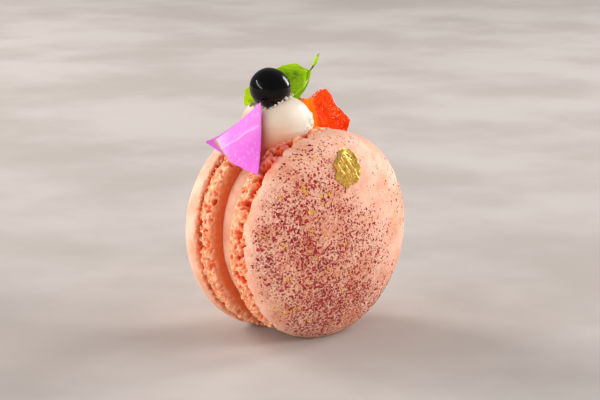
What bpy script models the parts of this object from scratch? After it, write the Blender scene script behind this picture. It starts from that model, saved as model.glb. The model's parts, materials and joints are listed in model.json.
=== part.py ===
"""French macaron that stands on its two rims, dressed with a garnish in the seam at its top.

Metres, +Z up. The origin is on the table, under the middle of the box. The macaron's axis runs along Y, so that
the front shell's dome faces -Y and the back shell's faces +Y, and the shells gape a little towards the top.
Toppings are placed from the macaron's centre, which is midway between the shells on their axis.
"""

import math

import bmesh
import bpy
from mathutils import Matrix, Vector, noise

MM = 0.001
GAP = 0.3 * MM  # clearance kept between neighbouring pieces

# Shells: a domed top with a craggy foot under its edge. The seam is where the two feet face each other.
SHELL_RADIUS = 22.5 * MM
FOOT_RADIUS = 21.6 * MM
GROOVE_RADIUS = 21.2 * MM  # the hollow between foot and dome
DOME_POWER = 2.46  # 2 is an ellipse, more is squarer at the shoulder
HALF_SEAM = 2.6 * MM
FOOT_RELIEF = 0.35 * MM
EDGE_RELIEF = 0.4 * MM
SEGMENTS = 84
DOME_RINGS = 8

FRONT_FOOT, FRONT_DOME, FRONT_LEAN = 4.9 * MM, 9.4 * MM, math.radians(1.4)
BACK_FOOT, BACK_DOME, BACK_LEAN = 5.6 * MM, 9.6 * MM, math.radians(1.5)

FLAT_DEPTH = 0.36 * MM  # how much of each rim is flattened where the macaron stands
CENTRE = Vector((0.0, -0.45 * MM, SHELL_RADIUS - FLAT_DEPTH))

FILLING_RADIUS = 19.3 * MM

# Garnish, from the macaron's centre
CREAM_AT, CREAM_HALF = Vector((-3.5, 1.3, 23.7)) * MM, Vector((8.2, 5.9, 6.0)) * MM
PEARL_AT, PEARL_HALF = Vector((-6.9, 0.9, 31.5)) * MM, Vector((4.4, 4.4, 4.25)) * MM
PETAL_THICKNESS = 0.5 * MM
LEAF_THICKNESS = 0.5 * MM
STEM_RADIUS = 0.45 * MM
CHIP_THICKNESS = 2.2 * MM
GOLD_THICKNESS = 0.35 * MM
GOLD_AT, GOLD_HALF = (0.3 * MM, 15.6 * MM), (2.9 * MM, 4.2 * MM)  # on the front dome, across and up

# The leaf stands across the seam, turned by this about Z, so its own axes are across, behind and up.
LEAF_TURN = math.radians(-45)


def clear_scene():
    for thing in list(bpy.data.objects):
        bpy.data.objects.remove(thing, do_unlink=True)


def material(name, colour, roughness, metallic=0.0):
    made = bpy.data.materials.new(name)
    made.use_nodes = True
    shader = made.node_tree.nodes["Principled BSDF"]
    shader.inputs["Base Color"].default_value = (*colour, 1.0)
    shader.inputs["Roughness"].default_value = roughness
    shader.inputs["Metallic"].default_value = metallic
    made.diffuse_color = (*colour, 1.0)
    return made


def solid(name, vertices, faces, finish=None, helper=False):
    """An object from points in world space, its faces turned outward; a helper only cuts or joins."""
    mesh = bpy.data.meshes.new(name)
    mesh.from_pydata(vertices, [], faces)
    shape = bmesh.new()
    shape.from_mesh(mesh)
    bmesh.ops.remove_doubles(shape, verts=shape.verts, dist=0.001 * MM)
    bmesh.ops.recalc_face_normals(shape, faces=shape.faces)
    shape.to_mesh(mesh)
    shape.free()
    mesh.shade_smooth()
    mesh.set_sharp_from_angle(angle=math.radians(50))
    thing = bpy.data.objects.new(name, mesh)
    bpy.context.scene.collection.objects.link(thing)
    if finish:
        mesh.materials.append(finish)
    if helper:
        thing.hide_render = True
        thing.display_type = "WIRE"
    return thing


def boolean(thing, other, operation="DIFFERENCE"):
    modifier = thing.modifiers.new(f"{operation.lower()}_{other.name}", "BOOLEAN")
    modifier.operation = operation
    modifier.object = other
    modifier.solver = "EXACT"


def ruffle(place, pitch, seed):
    """Smooth noise between -1 and 1 whose bumps are about one pitch apart."""
    return noise.noise(place / pitch + Vector((seed, 1.7 * seed, -seed)))


def stitched(rings, first_pole, last_pole):
    """Vertices and faces of rings of equal length, closed by a fan at either end."""
    count = len(rings[0])
    vertices = [point for ring in rings for point in ring] + [first_pole, last_pole]
    faces = []
    for row in range(len(rings) - 1):
        for i in range(count):
            j = (i + 1) % count
            a, b = row * count, (row + 1) * count
            faces.append((a + i, a + j, b + j, b + i))
    last = (len(rings) - 1) * count
    for i in range(count):
        j = (i + 1) % count
        faces.append((len(vertices) - 2, j, i))
        faces.append((len(vertices) - 1, last + i, last + j))
    return vertices, faces


# ---------------------------------------------------------------- shells and filling


def lean_of(side, lean):
    """Turns a shell about the macaron's centre so that the seam is wider at the top."""
    return Matrix.Translation(CENTRE) @ Matrix.Rotation(-side * lean, 4, "X")


def dome_depth(radius, foot, height):
    """Distance from the seam's middle to the dome's surface, at this distance from the axis."""
    return HALF_SEAM + foot + height * max(0.0, 1 - (radius / SHELL_RADIUS) ** DOME_POWER) ** (1 / DOME_POWER)


def shell_profile(foot, height):
    """(radius, depth, foot relief share, edge relief share) from the seam's edge to near the dome's top."""
    lip = HALF_SEAM
    rows = [
        (FOOT_RADIUS - 0.7 * MM, lip, 0.0, 0.0),
        (FOOT_RADIUS, lip + 0.5 * MM, 0.6, 0.0),
        (FOOT_RADIUS + 0.3 * MM, lip + 0.35 * foot, 1.0, 0.0),
        (FOOT_RADIUS + 0.1 * MM, lip + 0.62 * foot, 1.0, 0.0),
        (GROOVE_RADIUS, lip + 0.82 * foot, 0.5, 0.4),
        (SHELL_RADIUS - 0.45 * MM, lip + 0.9 * foot, 0.2, 1.0),
    ]
    for ring in range(DOME_RINGS):
        angle = math.pi / 2 * ring / DOME_RINGS
        radius = SHELL_RADIUS * math.cos(angle) ** (2 / DOME_POWER)
        rows.append((radius, dome_depth(radius, foot, height), 0.0, 0.6 if ring == 0 else 0.0))
    return rows


def shell(name, side, foot, height, lean, seed, finish):
    place = lean_of(side, lean)
    rings = []
    for radius, depth, foot_share, edge_share in shell_profile(foot, height):
        ring = []
        for step in range(SEGMENTS):
            turn = 2 * math.pi * step / SEGMENTS
            around = Vector((math.cos(turn), 0, math.sin(turn)))
            spot = around * SHELL_RADIUS + Vector((0, depth, 0))
            reach = radius + foot_share * FOOT_RELIEF * ruffle(spot, 2.2 * MM, seed)
            out = depth + edge_share * EDGE_RELIEF * ruffle(spot, 3.1 * MM, seed + 5)
            ring.append(place @ (around * reach + Vector((0, side * out, 0))))
        rings.append(ring)
    inner = place @ Vector((0, side * HALF_SEAM, 0))
    top = place @ Vector((0, side * (HALF_SEAM + foot + height), 0))
    made = solid(name, *stitched(rings, inner, top), finish)
    flatten_foot(made)
    return made


def flatten_foot(thing):
    """Cuts the rim off level with the table, so that the macaron stands on it."""
    shape = bmesh.new()
    shape.from_mesh(thing.data)
    everything = shape.verts[:] + shape.edges[:] + shape.faces[:]
    cut = bmesh.ops.bisect_plane(
        shape, geom=everything, dist=0.0005 * MM, plane_co=(0, 0, 0), plane_no=(0, 0, -1), clear_outer=True
    )
    rim = [item for item in cut["geom_cut"] if isinstance(item, bmesh.types.BMEdge)]
    bmesh.ops.edgeloop_fill(shape, edges=rim)
    bmesh.ops.triangulate(shape, faces=[face for face in shape.faces if len(face.verts) > 4])
    bmesh.ops.recalc_face_normals(shape, faces=shape.faces)
    shape.to_mesh(thing.data)
    shape.free()


def disc(name, radius, clearance, finish=None, helper=False):
    """A wedge-shaped disc that fills the seam up to this clearance from the shells' inner faces."""
    rings = []
    for side, lean in ((-1, FRONT_LEAN), (1, BACK_LEAN)):
        place = lean_of(side, lean)
        face = HALF_SEAM - clearance
        reaches = (radius - 0.8 * MM, radius) if side < 0 else (radius, radius - 0.8 * MM)
        for reach in reaches:
            depth = face if reach < radius else face - 0.5 * MM
            ring = []
            for step in range(SEGMENTS):
                turn = 2 * math.pi * step / SEGMENTS
                ring.append(place @ Vector((reach * math.cos(turn), side * depth, reach * math.sin(turn))))
            rings.append(ring)
    poles = [lean_of(-1, FRONT_LEAN) @ Vector((0, clearance - HALF_SEAM, 0))]
    poles.append(lean_of(1, BACK_LEAN) @ Vector((0, HALF_SEAM - clearance, 0)))
    return solid(name, *stitched(rings, *poles), finish, helper)


def shell_clearance(name, side, foot, height, lean):
    """A smooth shell one gap larger all round, which cuts what rests on the real one."""
    place = lean_of(side, lean)
    inner = HALF_SEAM - GAP
    rim = SHELL_RADIUS + GAP
    reaches = [
        (FOOT_RADIUS - 0.4 * MM, inner),
        (FOOT_RADIUS + 2 * GAP, inner + 0.5 * MM),
        (FOOT_RADIUS + 0.3 * MM + FOOT_RELIEF + GAP, HALF_SEAM + 0.35 * foot),
        (rim, HALF_SEAM + 0.85 * foot),
    ]
    reaches += [(rim, HALF_SEAM + foot), (0.7 * rim, HALF_SEAM + foot + height)]
    rings = []
    for reach, depth in reaches:
        turns = [2 * math.pi * step / SEGMENTS for step in range(SEGMENTS)]
        rings.append([place @ Vector((reach * math.cos(t), side * depth, reach * math.sin(t))) for t in turns])
    poles = place @ Vector((0, side * inner, 0)), place @ Vector((0, side * (HALF_SEAM + foot + height), 0))
    return solid(name, *stitched(rings, *poles), helper=True)


# ---------------------------------------------------------------- garnish


def egg(name, centre, half, finish=None, helper=False, turns=28, rows=15, lump=0.0, pitch=1.0, seed=0):
    """An ellipsoid of these half axes, with noise of this height on it."""
    rings = []
    for row in range(1, rows):
        fall = math.pi * row / rows
        ring = []
        for step in range(turns):
            turn = 2 * math.pi * step / turns
            way = Vector((math.sin(fall) * math.cos(turn), math.sin(fall) * math.sin(turn), math.cos(fall)))
            spot = Vector((way.x * half.x, way.y * half.y, way.z * half.z))
            if lump:
                spot += way * lump * ruffle(spot, pitch, seed)
            ring.append(CENTRE + centre + spot)
        rings.append(ring)
    up = Vector((0, 0, half.z))
    return solid(name, *stitched(rings, CENTRE + centre + up, CENTRE + centre - up), finish, helper)


def smooth_loop(points, per_side):
    """A closed curve through the points (Catmull-Rom), with this many steps between two of them."""
    count = len(points)
    curve = []
    for i in range(count):
        before, start, end, after = (Vector(points[(i + k) % count]) for k in (-1, 0, 1, 2))
        for step in range(per_side):
            t = step / per_side
            curve.append(
                0.5 * (2 * start + (end - before) * t + (2 * before - 5 * start + 4 * end - after) * t * t
                       + (3 * start - before - 3 * end + after) * t**3)
            )
    return curve


def sheet(name, outline, depth_at, thickness, place, finish=None, helper=False, rings=(0.35, 0.7, 1.0)):
    """A sheet with this outline across and up; depth_at(across, up) bends it along its third axis."""
    middle = sum(outline, Vector((0, 0))) / len(outline)

    def skin(share, half):
        spots = [middle + (point - middle) * share for point in outline]
        return [place @ Vector((spot.x, depth_at(*spot) + half, spot.y)) for spot in spots]

    half = thickness / 2
    loops = [skin(share, -half) for share in rings] + [skin(share, half) for share in reversed(rings)]
    poles = [place @ Vector((middle.x, depth_at(*middle) + way * half, middle.y)) for way in (-1, 1)]
    return solid(name, *stitched(loops, *poles), finish, helper)


def chip_outline():
    """Top corner, the broken right edge, the arc that follows the filling, and the edge in the cream."""
    broken = [(2.8, 27.4), (4.8, 27.1), (6.5, 27.5), (9.0, 28.4), (10.1, 28.1), (11.9, 26.5), (13.4, 24.8)]
    broken += [(15.4, 22.8), (16.8, 21.1), (16.4, 19.5), (15.6, 17.6)]
    arc = [math.radians(angle) for angle in (48, 56, 64, 72)]
    seat = FILLING_RADIUS + 3 * GAP
    outline = [Vector(point) * MM for point in broken]
    outline += [Vector((seat * math.cos(angle), seat * math.sin(angle))) for angle in arc]
    outline += [Vector(point) * MM for point in ((4.6, 21.6), (3.4, 24.6))]
    return outline


def chip_depth(across, up):
    """The chip bows away from the front towards its right edge."""
    return 0.9 * MM + 0.9 * MM * math.cos((across - 9 * MM) / (6 * MM)) + 0.15 * MM * math.sin(up / (0.9 * MM))


def leaf_outline():
    """From the stem, over the blade's top, round its lobed left end and back along the cream."""
    top = [(2.9, 33.6), (1.2, 34.9), (-0.6, 35.7), (-2.6, 35.2), (-5.2, 34.2), (-8.0, 32.7), (-10.3, 31.0)]
    end = [(-11.5, 29.6), (-11.3, 28.2), (-11.6, 26.9), (-10.4, 26.4), (-8.6, 27.0)]
    low = [(-6.0, 28.4), (-3.2, 28.6), (-1.2, 28.3), (0.6, 28.0), (2.2, 29.4), (3.1, 31.6)]
    return smooth_loop([Vector(point) * MM for point in top + end + low], 2)


def leaf_depth(across, up):
    """Cupped about the midrib: the left half comes forward at its end, the right strip turns back."""
    turned = 2.0 * MM + 0.12 * across
    fold = max(0.0, across - 1.2 * MM) * 0.9
    return turned + fold + 0.35 * MM * math.sin((up - 28 * MM) / (1.6 * MM))


def stem(name, place):
    """A thin stalk that leaves the blade at its base and swells before its dry tip."""
    route = [(2.0, 2.7, 32.4), (3.3, 2.9, 33.7), (3.9, 2.9, 35.1), (4.2, 2.9, 36.2), (4.8, 2.9, 37.3)]
    widths = (0.8, 0.75, 1.3, 1.3, 0.5)
    rings = []
    for point, width in zip(route, widths):
        ring = []
        for step in range(8):
            turn = 2 * math.pi * step / 8
            radius = STEM_RADIUS * width
            ring.append(place @ (Vector(point) * MM + Vector((radius * math.cos(turn), radius * math.sin(turn), 0))))
        rings.append(ring)
    ends = place @ (Vector(route[0]) * MM), place @ (Vector(route[-1]) * MM)
    return solid(name, *stitched(rings, *ends), helper=True)


def petal(name, finish):
    """A petal folded over itself: the front layer hangs from the fold, and a narrower one lies behind it."""
    apex, far = Vector((-12.6, -1.6, 29.6)) * MM, Vector((-15.6, 9.6, 20.3)) * MM
    low_near, low_far = Vector((-17.0, -5.2, 15.0)) * MM, Vector((-16.8, 4.4, 17.0)) * MM
    behind = Vector((1.1, 1.2, -0.3)) * MM
    tip = Vector((-16.0, 12.0, 19.4)) * MM
    back_low = Vector((-15.4, 6.9, 17.9)) * MM
    columns, rows, back_rows = 9, 7, 3
    grid = []
    for i in range(columns + 1):
        along = i / columns
        fold = apex.lerp(far, along)
        foot = low_near.lerp(low_far, along) + Vector((0, 0, 0.3 * MM * math.sin(5 * along)))
        line = []
        for j in range(rows + 1):
            up = j / rows
            bulge = -1.1 * MM * math.sin(math.pi * up) * (1 - 0.5 * along)
            line.append(foot.lerp(fold, up) + Vector((bulge, 0, 0)))
        outer = fold.lerp(tip, along**2) + behind * (0.25 + 0.75 * along)
        inner = (fold + behind).lerp(back_low, along) + Vector((0.5 * MM, 0, -1.5 * MM * (1 - along)))
        line += [outer.lerp(inner, j / back_rows) for j in range(back_rows + 1)]
        grid.append(line)
    return thick_grid(name, grid, PETAL_THICKNESS, finish)


def thick_grid(name, grid, thickness, finish):
    """A closed sheet of even thickness on a grid of points."""
    columns, rows = len(grid), len(grid[0])

    def normal(i, j):
        along = grid[min(i + 1, columns - 1)][j] - grid[max(i - 1, 0)][j]
        across = grid[i][min(j + 1, rows - 1)] - grid[i][max(j - 1, 0)]
        return along.cross(across).normalized()

    skins = [[], []]
    for skin, way in zip(skins, (0.5, -0.5)):
        for i in range(columns):
            skin += [grid[i][j] + normal(i, j) * thickness * way + CENTRE for j in range(rows)]
    size = columns * rows
    faces = []
    for i in range(columns - 1):
        for j in range(rows - 1):
            a, b, c, d = i * rows + j, (i + 1) * rows + j, (i + 1) * rows + j + 1, i * rows + j + 1
            faces += [(a, b, c, d), (size + d, size + c, size + b, size + a)]
    edge = [(i, 0) for i in range(columns)] + [(columns - 1, j) for j in range(1, rows)]
    edge += [(i, rows - 1) for i in range(columns - 2, -1, -1)] + [(0, j) for j in range(rows - 2, 0, -1)]
    loop = [i * rows + j for i, j in edge]
    for k, here in enumerate(loop):
        after = loop[(k + 1) % len(loop)]
        faces.append((after, here, size + here, size + after))
    return solid(name, skins[0] + skins[1], faces, finish)


def gold_leaf(name, finish):
    """A torn patch of foil that lies on the front dome."""
    place = lean_of(-1, FRONT_LEAN)
    torn = []
    for step in range(22):
        turn = 2 * math.pi * step / 22
        reach = 1 + 0.13 * math.sin(3 * turn + 0.6) + 0.08 * math.sin(7 * turn)
        torn.append(Vector((GOLD_AT[0] + GOLD_HALF[0] * reach * math.cos(turn),
                            GOLD_AT[1] + GOLD_HALF[1] * reach * math.sin(turn))))

    def over_dome(across, up):
        crumple = 0.12 * MM * (1 + math.sin((across + up) / (0.5 * MM)))
        clear = GAP + GOLD_THICKNESS / 2 + 0.15 * MM
        return -dome_depth(math.hypot(across, up), FRONT_FOOT, FRONT_DOME) - clear - crumple

    return sheet(name, torn, over_dome, GOLD_THICKNESS, place, finish, rings=(0.3, 0.65, 1.0))


def build():
    clear_scene()
    biscuit = material("almond_biscuit", (0.87, 0.42, 0.29), 0.75)
    filling = material("pink_buttercream", (0.86, 0.53, 0.40), 0.5)
    cream = material("white_cream", (0.88, 0.80, 0.68), 0.45)
    black = material("black_glaze", (0.004, 0.003, 0.003), 0.08)
    lilac = material("lilac_petal", (0.82, 0.22, 0.80), 0.6)
    green = material("green_leaf", (0.30, 0.52, 0.02), 0.45)
    orange = material("orange_sugar", (0.92, 0.10, 0.02), 0.4)
    gold = material("gold_foil", (0.86, 0.58, 0.16), 0.3, 1.0)

    shell("front_shell", -1, FRONT_FOOT, FRONT_DOME, FRONT_LEAN, 3, biscuit)
    shell("back_shell", 1, BACK_FOOT, BACK_DOME, BACK_LEAN, 11, biscuit)
    disc("filling", FILLING_RADIUS, GAP, filling)

    egg("pearl", PEARL_AT, PEARL_HALF, black)
    centred = Matrix.Translation(CENTRE)
    sheet("sugar_chip", chip_outline(), chip_depth, CHIP_THICKNESS, centred, orange)
    petal("petal", lilac)
    gold_leaf("gold_leaf", gold)

    dollop = egg("cream", CREAM_AT, CREAM_HALF, cream, turns=36, rows=20, lump=0.35 * MM, pitch=4 * MM, seed=7)
    boolean(dollop, shell_clearance("front_clearance", -1, FRONT_FOOT, FRONT_DOME, FRONT_LEAN))
    boolean(dollop, shell_clearance("back_clearance", 1, BACK_FOOT, BACK_DOME, BACK_LEAN))
    boolean(dollop, disc("filling_clearance", FILLING_RADIUS + GAP, -GAP, helper=True))
    room = Vector((GAP, GAP, GAP))
    boolean(dollop, egg("pearl_clearance", PEARL_AT, PEARL_HALF + room, helper=True))
    grown = [point + (point - Vector((9, 23)) * MM).normalized() * GAP for point in chip_outline()]
    boolean(dollop, sheet("chip_clearance", grown, chip_depth, CHIP_THICKNESS + 2 * GAP, centred, helper=True))

    turned = Matrix.Translation(CENTRE) @ Matrix.Rotation(LEAF_TURN, 4, "Z")
    blade = sheet("leaf", leaf_outline(), leaf_depth, LEAF_THICKNESS, turned, green)
    boolean(blade, stem("leaf_stem", turned), "UNION")
    room = 1.5 * Vector((GAP, GAP, GAP))
    boolean(blade, egg("cream_clearance", CREAM_AT, CREAM_HALF + room, helper=True, turns=36, rows=20,
                       lump=0.35 * MM, pitch=4 * MM, seed=7))


build()
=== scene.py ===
"""Looks of a dressed french macaron that stands on its rims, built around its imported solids.

Every length is in metres in the frame of the solids: +Z is up, the macaron's axis runs along Y, and the front
shell's dome faces -Y. The garnish is placed from the macaron's centre, midway between the shells.
"""

import json
import logging
import math
from dataclasses import dataclass, field
from enum import Enum
from typing import Callable

import bpy
import numpy as np
from mathutils import Matrix, Vector

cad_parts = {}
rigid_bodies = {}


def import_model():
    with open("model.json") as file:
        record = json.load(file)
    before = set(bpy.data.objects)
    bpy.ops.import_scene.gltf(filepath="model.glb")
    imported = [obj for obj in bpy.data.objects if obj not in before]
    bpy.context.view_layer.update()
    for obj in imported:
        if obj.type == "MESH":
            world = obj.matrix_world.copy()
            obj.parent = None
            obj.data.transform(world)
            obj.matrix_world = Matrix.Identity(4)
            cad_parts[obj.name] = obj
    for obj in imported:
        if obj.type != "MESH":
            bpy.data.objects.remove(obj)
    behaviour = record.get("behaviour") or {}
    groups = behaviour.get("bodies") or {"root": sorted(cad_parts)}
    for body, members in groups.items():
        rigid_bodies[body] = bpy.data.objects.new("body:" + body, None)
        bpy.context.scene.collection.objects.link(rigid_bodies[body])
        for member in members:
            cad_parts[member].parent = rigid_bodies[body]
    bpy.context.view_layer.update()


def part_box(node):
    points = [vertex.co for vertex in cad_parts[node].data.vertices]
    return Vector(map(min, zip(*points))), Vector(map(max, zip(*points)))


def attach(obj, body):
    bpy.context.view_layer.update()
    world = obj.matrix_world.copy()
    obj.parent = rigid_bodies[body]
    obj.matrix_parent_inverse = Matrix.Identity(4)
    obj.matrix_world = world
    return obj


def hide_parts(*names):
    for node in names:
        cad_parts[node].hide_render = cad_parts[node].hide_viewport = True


MM = 0.001
log = logging.getLogger("macaron")

Points = np.ndarray
Colour = tuple[float, float, float]


class Side(Enum):
    """Which way a shell's dome faces along Y."""

    FRONT = -1
    BACK = 1


class Slot(Enum):
    """Material slots of the record."""

    BISCUIT = "biscuit"
    FILLING = "filling"
    CREAM = "cream"
    PEARL = "pearl"
    PETAL = "petal"
    LEAF = "leaf"
    CHIP = "sugar_chip"
    GOLD = "gold_leaf"


def srgb(red: int, green: int, blue: int) -> Colour:
    """Turns a display colour into the linear values that shaders take.

    Args:
        red: red on the display, 0 to 255.
        green: green on the display.
        blue: blue on the display.

    Returns:
        The linear colour.
    """
    shares = [value / 255 for value in (red, green, blue)]
    return tuple(s / 12.92 if s <= 0.04045 else ((s + 0.055) / 1.055) ** 2.4 for s in shares)


# ------------------------------------------------------------------ noise on points


def lattice(cells: Points, seed: int) -> Points:
    """Gives each whole-number corner of space its own number.

    Args:
        cells: whole-number corners, one row each.
        seed: which set of numbers.

    Returns:
        A number between 0 and 1 for each row.
    """
    x, y, z = (cells[..., axis].astype(np.int64) for axis in range(3))
    mixed = (x * 73856093) ^ (y * 19349663) ^ (z * 83492791) ^ (seed * 2654435761)
    mixed = ((mixed ^ (mixed >> 13)) * 1274126177) & 0xFFFFFFFF
    mixed = ((mixed ^ (mixed >> 15)) * 668265263) & 0xFFFFFFFF
    mixed ^= mixed >> 16
    return (mixed & 0xFFFFFF) / 0xFFFFFF


def waves(points: Points, pitch: float, seed: int, octaves: int = 1) -> Points:
    """Smooth noise whose bumps lie about one pitch apart, with finer octaves on top.

    Args:
        points: places, one row each.
        pitch: distance between bumps, in metres.
        seed: which noise.
        octaves: how many layers, each half the size of the one before.

    Returns:
        A number between about -1 and 1 for each place.
    """
    total = np.zeros(len(points))
    share, reach = 1.0, 0.0
    for octave in range(octaves):
        scaled = points / pitch * 2**octave + 31.7
        corner = np.floor(scaled)
        part = scaled - corner
        part = part * part * (3 - 2 * part)
        layer = np.zeros(len(points))
        for dx in (0, 1):
            for dy in (0, 1):
                for dz in (0, 1):
                    step = np.array((dx, dy, dz))
                    weight = np.prod(np.where(step, part, 1 - part), axis=1)
                    layer += weight * lattice(corner + step, seed + 101 * octave)
        total += share * (2 * layer - 1)
        reach += share
        share *= 0.5
    return total / reach


def bubbles(points: Points, pitch: float, seed: int) -> tuple[Points, Points]:
    """Finds the nearest of many scattered bubble centres, about one in each pitch cubed.

    Args:
        points: places, one row each.
        pitch: spacing of the bubbles, in metres.
        seed: which scatter.

    Returns:
        The distance to the nearest centre in pitches, and a number from 0 to 1 that belongs to that bubble.
    """
    scaled = points / pitch + 57.3
    corner = np.floor(scaled)
    nearest = np.full(len(points), 9.0)
    tag = np.zeros(len(points))
    for dx in (-1, 0, 1):
        for dy in (-1, 0, 1):
            for dz in (-1, 0, 1):
                cell = corner + np.array((dx, dy, dz))
                centre = cell + np.stack([lattice(cell, seed + k) for k in (1, 2, 3)], axis=1)
                distance = np.linalg.norm(scaled - centre, axis=1)
                closer = distance < nearest
                nearest = np.where(closer, distance, nearest)
                tag = np.where(closer, lattice(cell, seed + 4), tag)
    return nearest, tag


def ramp(values: Points, low: float, high: float) -> Points:
    """Rises smoothly from 0 at low to 1 at high.

    Args:
        values: the numbers to turn.
        low: where the rise starts; it may be above high, which turns the rise round.
        high: where it ends.

    Returns:
        Numbers between 0 and 1.
    """
    share = np.clip((values - low) / (high - low), 0, 1)
    return share * share * (3 - 2 * share)


# ------------------------------------------------------------------ modelling


def deselect_all() -> None:
    """Leaves edit mode and clears the selection."""
    if bpy.context.object and bpy.context.object.mode != "OBJECT":
        bpy.ops.object.mode_set(mode="OBJECT")
    bpy.ops.object.select_all(action="DESELECT")


def activate(piece: bpy.types.Object) -> None:
    """Makes this the only selected piece."""
    deselect_all()
    piece.select_set(True)
    bpy.context.view_layer.objects.active = piece


def take_new(name: str) -> bpy.types.Object:
    """Names the primitive that was just added."""
    piece = bpy.context.object
    piece.name = name
    piece.data.name = name
    return piece


def settle(piece: bpy.types.Object) -> None:
    """Puts a piece's place into its mesh, closes doubles and turns its faces outward."""
    activate(piece)
    bpy.ops.object.transform_apply(location=True, rotation=True, scale=True)
    bpy.ops.object.mode_set(mode="EDIT")
    bpy.ops.mesh.select_all(action="SELECT")
    bpy.ops.mesh.remove_doubles(threshold=0.002 * MM)
    bpy.ops.mesh.normals_make_consistent(inside=False)
    bpy.ops.object.mode_set(mode="OBJECT")


def smooth(piece: bpy.types.Object, degrees: float = 180.0) -> None:
    """Shades a piece smooth, apart from edges sharper than the angle."""
    activate(piece)
    bpy.ops.object.shade_smooth_by_angle(angle=math.radians(degrees))
    for modifier in list(piece.modifiers):
        bpy.ops.object.modifier_apply(modifier=modifier.name)


def apply_modifier(piece: bpy.types.Object, kind: str, **settings: object) -> None:
    """Adds a modifier with these settings and applies it."""
    activate(piece)
    modifier = piece.modifiers.new(kind.lower(), kind)
    for key, value in settings.items():
        setattr(modifier, key, value)
    bpy.ops.object.modifier_apply(modifier=modifier.name)


def places(piece: bpy.types.Object) -> Points:
    """Reads a mesh's vertices as rows of x, y and z."""
    flat = np.empty(len(piece.data.vertices) * 3)
    piece.data.vertices.foreach_get("co", flat)
    return flat.reshape(-1, 3)


def move_to(piece: bpy.types.Object, points: Points) -> None:
    """Writes rows of x, y and z back as a mesh's vertices."""
    piece.data.vertices.foreach_set("co", np.asarray(points, np.float64).ravel())
    piece.data.update()


def paint(piece: bpy.types.Object, name: str, values: Points) -> None:
    """Stores one number per vertex, which the finish reads by name."""
    layer = piece.data.attributes.new(name, "FLOAT", "POINT")
    layer.data.foreach_set("value", np.asarray(values, np.float32))


def turned(name: str, profile: list[tuple[float, float]], steps: int) -> bpy.types.Object:
    """Turns a profile about the Y axis, as on a lathe.

    Args:
        name: the piece's name.
        profile: radius and depth along Y of each point, from pole to pole.
        steps: how many facets the turn has.

    Returns:
        The piece, closed at its poles.
    """
    deselect_all()
    radius, depth = profile[0]
    bpy.ops.mesh.primitive_plane_add(size=MM, location=(radius, depth, 0))
    piece = take_new(name)
    bpy.ops.object.transform_apply(location=True, rotation=False, scale=False)
    bpy.ops.object.mode_set(mode="EDIT")
    bpy.ops.mesh.select_all(action="SELECT")
    bpy.ops.mesh.merge(type="CENTER")
    for next_radius, next_depth in profile[1:]:
        step = (next_radius - radius, next_depth - depth, 0)
        bpy.ops.mesh.extrude_vertices_move(TRANSFORM_OT_translate={"value": step})
        radius, depth = next_radius, next_depth
    bpy.ops.mesh.select_all(action="SELECT")
    bpy.ops.mesh.spin(steps=steps, angle=2 * math.pi, center=(0, 0, 0), axis=(0, 1, 0))
    bpy.ops.object.mode_set(mode="OBJECT")
    settle(piece)
    return piece


def patch(name: str, columns: int, rows: int, shape: Callable[[Points, Points], Points]) -> bpy.types.Object:
    """Lays a grid over a curved surface.

    Args:
        name: the piece's name.
        columns: squares along the first direction.
        rows: squares along the second.
        shape: gives places from the two shares, each from 0 to 1.

    Returns:
        The open sheet, with both shares kept as the attributes u and v.
    """
    deselect_all()
    bpy.ops.mesh.primitive_grid_add(x_subdivisions=columns, y_subdivisions=rows, size=1.0)
    piece = take_new(name)
    flat = places(piece)
    u, v = flat[:, 0] + 0.5, flat[:, 1] + 0.5
    move_to(piece, shape(u, v))
    paint(piece, "u", u)
    paint(piece, "v", v)
    return piece


def loop_through(points: list[tuple[float, float]], shares: Points) -> Points:
    """Reads a closed smooth curve through the points (Catmull-Rom).

    Args:
        points: the curve's points, in millimetres.
        shares: places along it, from 0 to 1.

    Returns:
        Rows of two coordinates, in metres.
    """
    knots = np.array(points) * MM
    count = len(knots)
    run = (shares % 1.0) * count
    start = np.floor(run).astype(int)
    t = (run - start)[:, None]
    before, here, after, beyond = (knots[(start + k) % count] for k in (-1, 0, 1, 2))
    return 0.5 * (
        2 * here + (after - before) * t + (2 * before - 5 * here + 4 * after - beyond) * t**2
        + (3 * here - before - 3 * after + beyond) * t**3
    )


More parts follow.
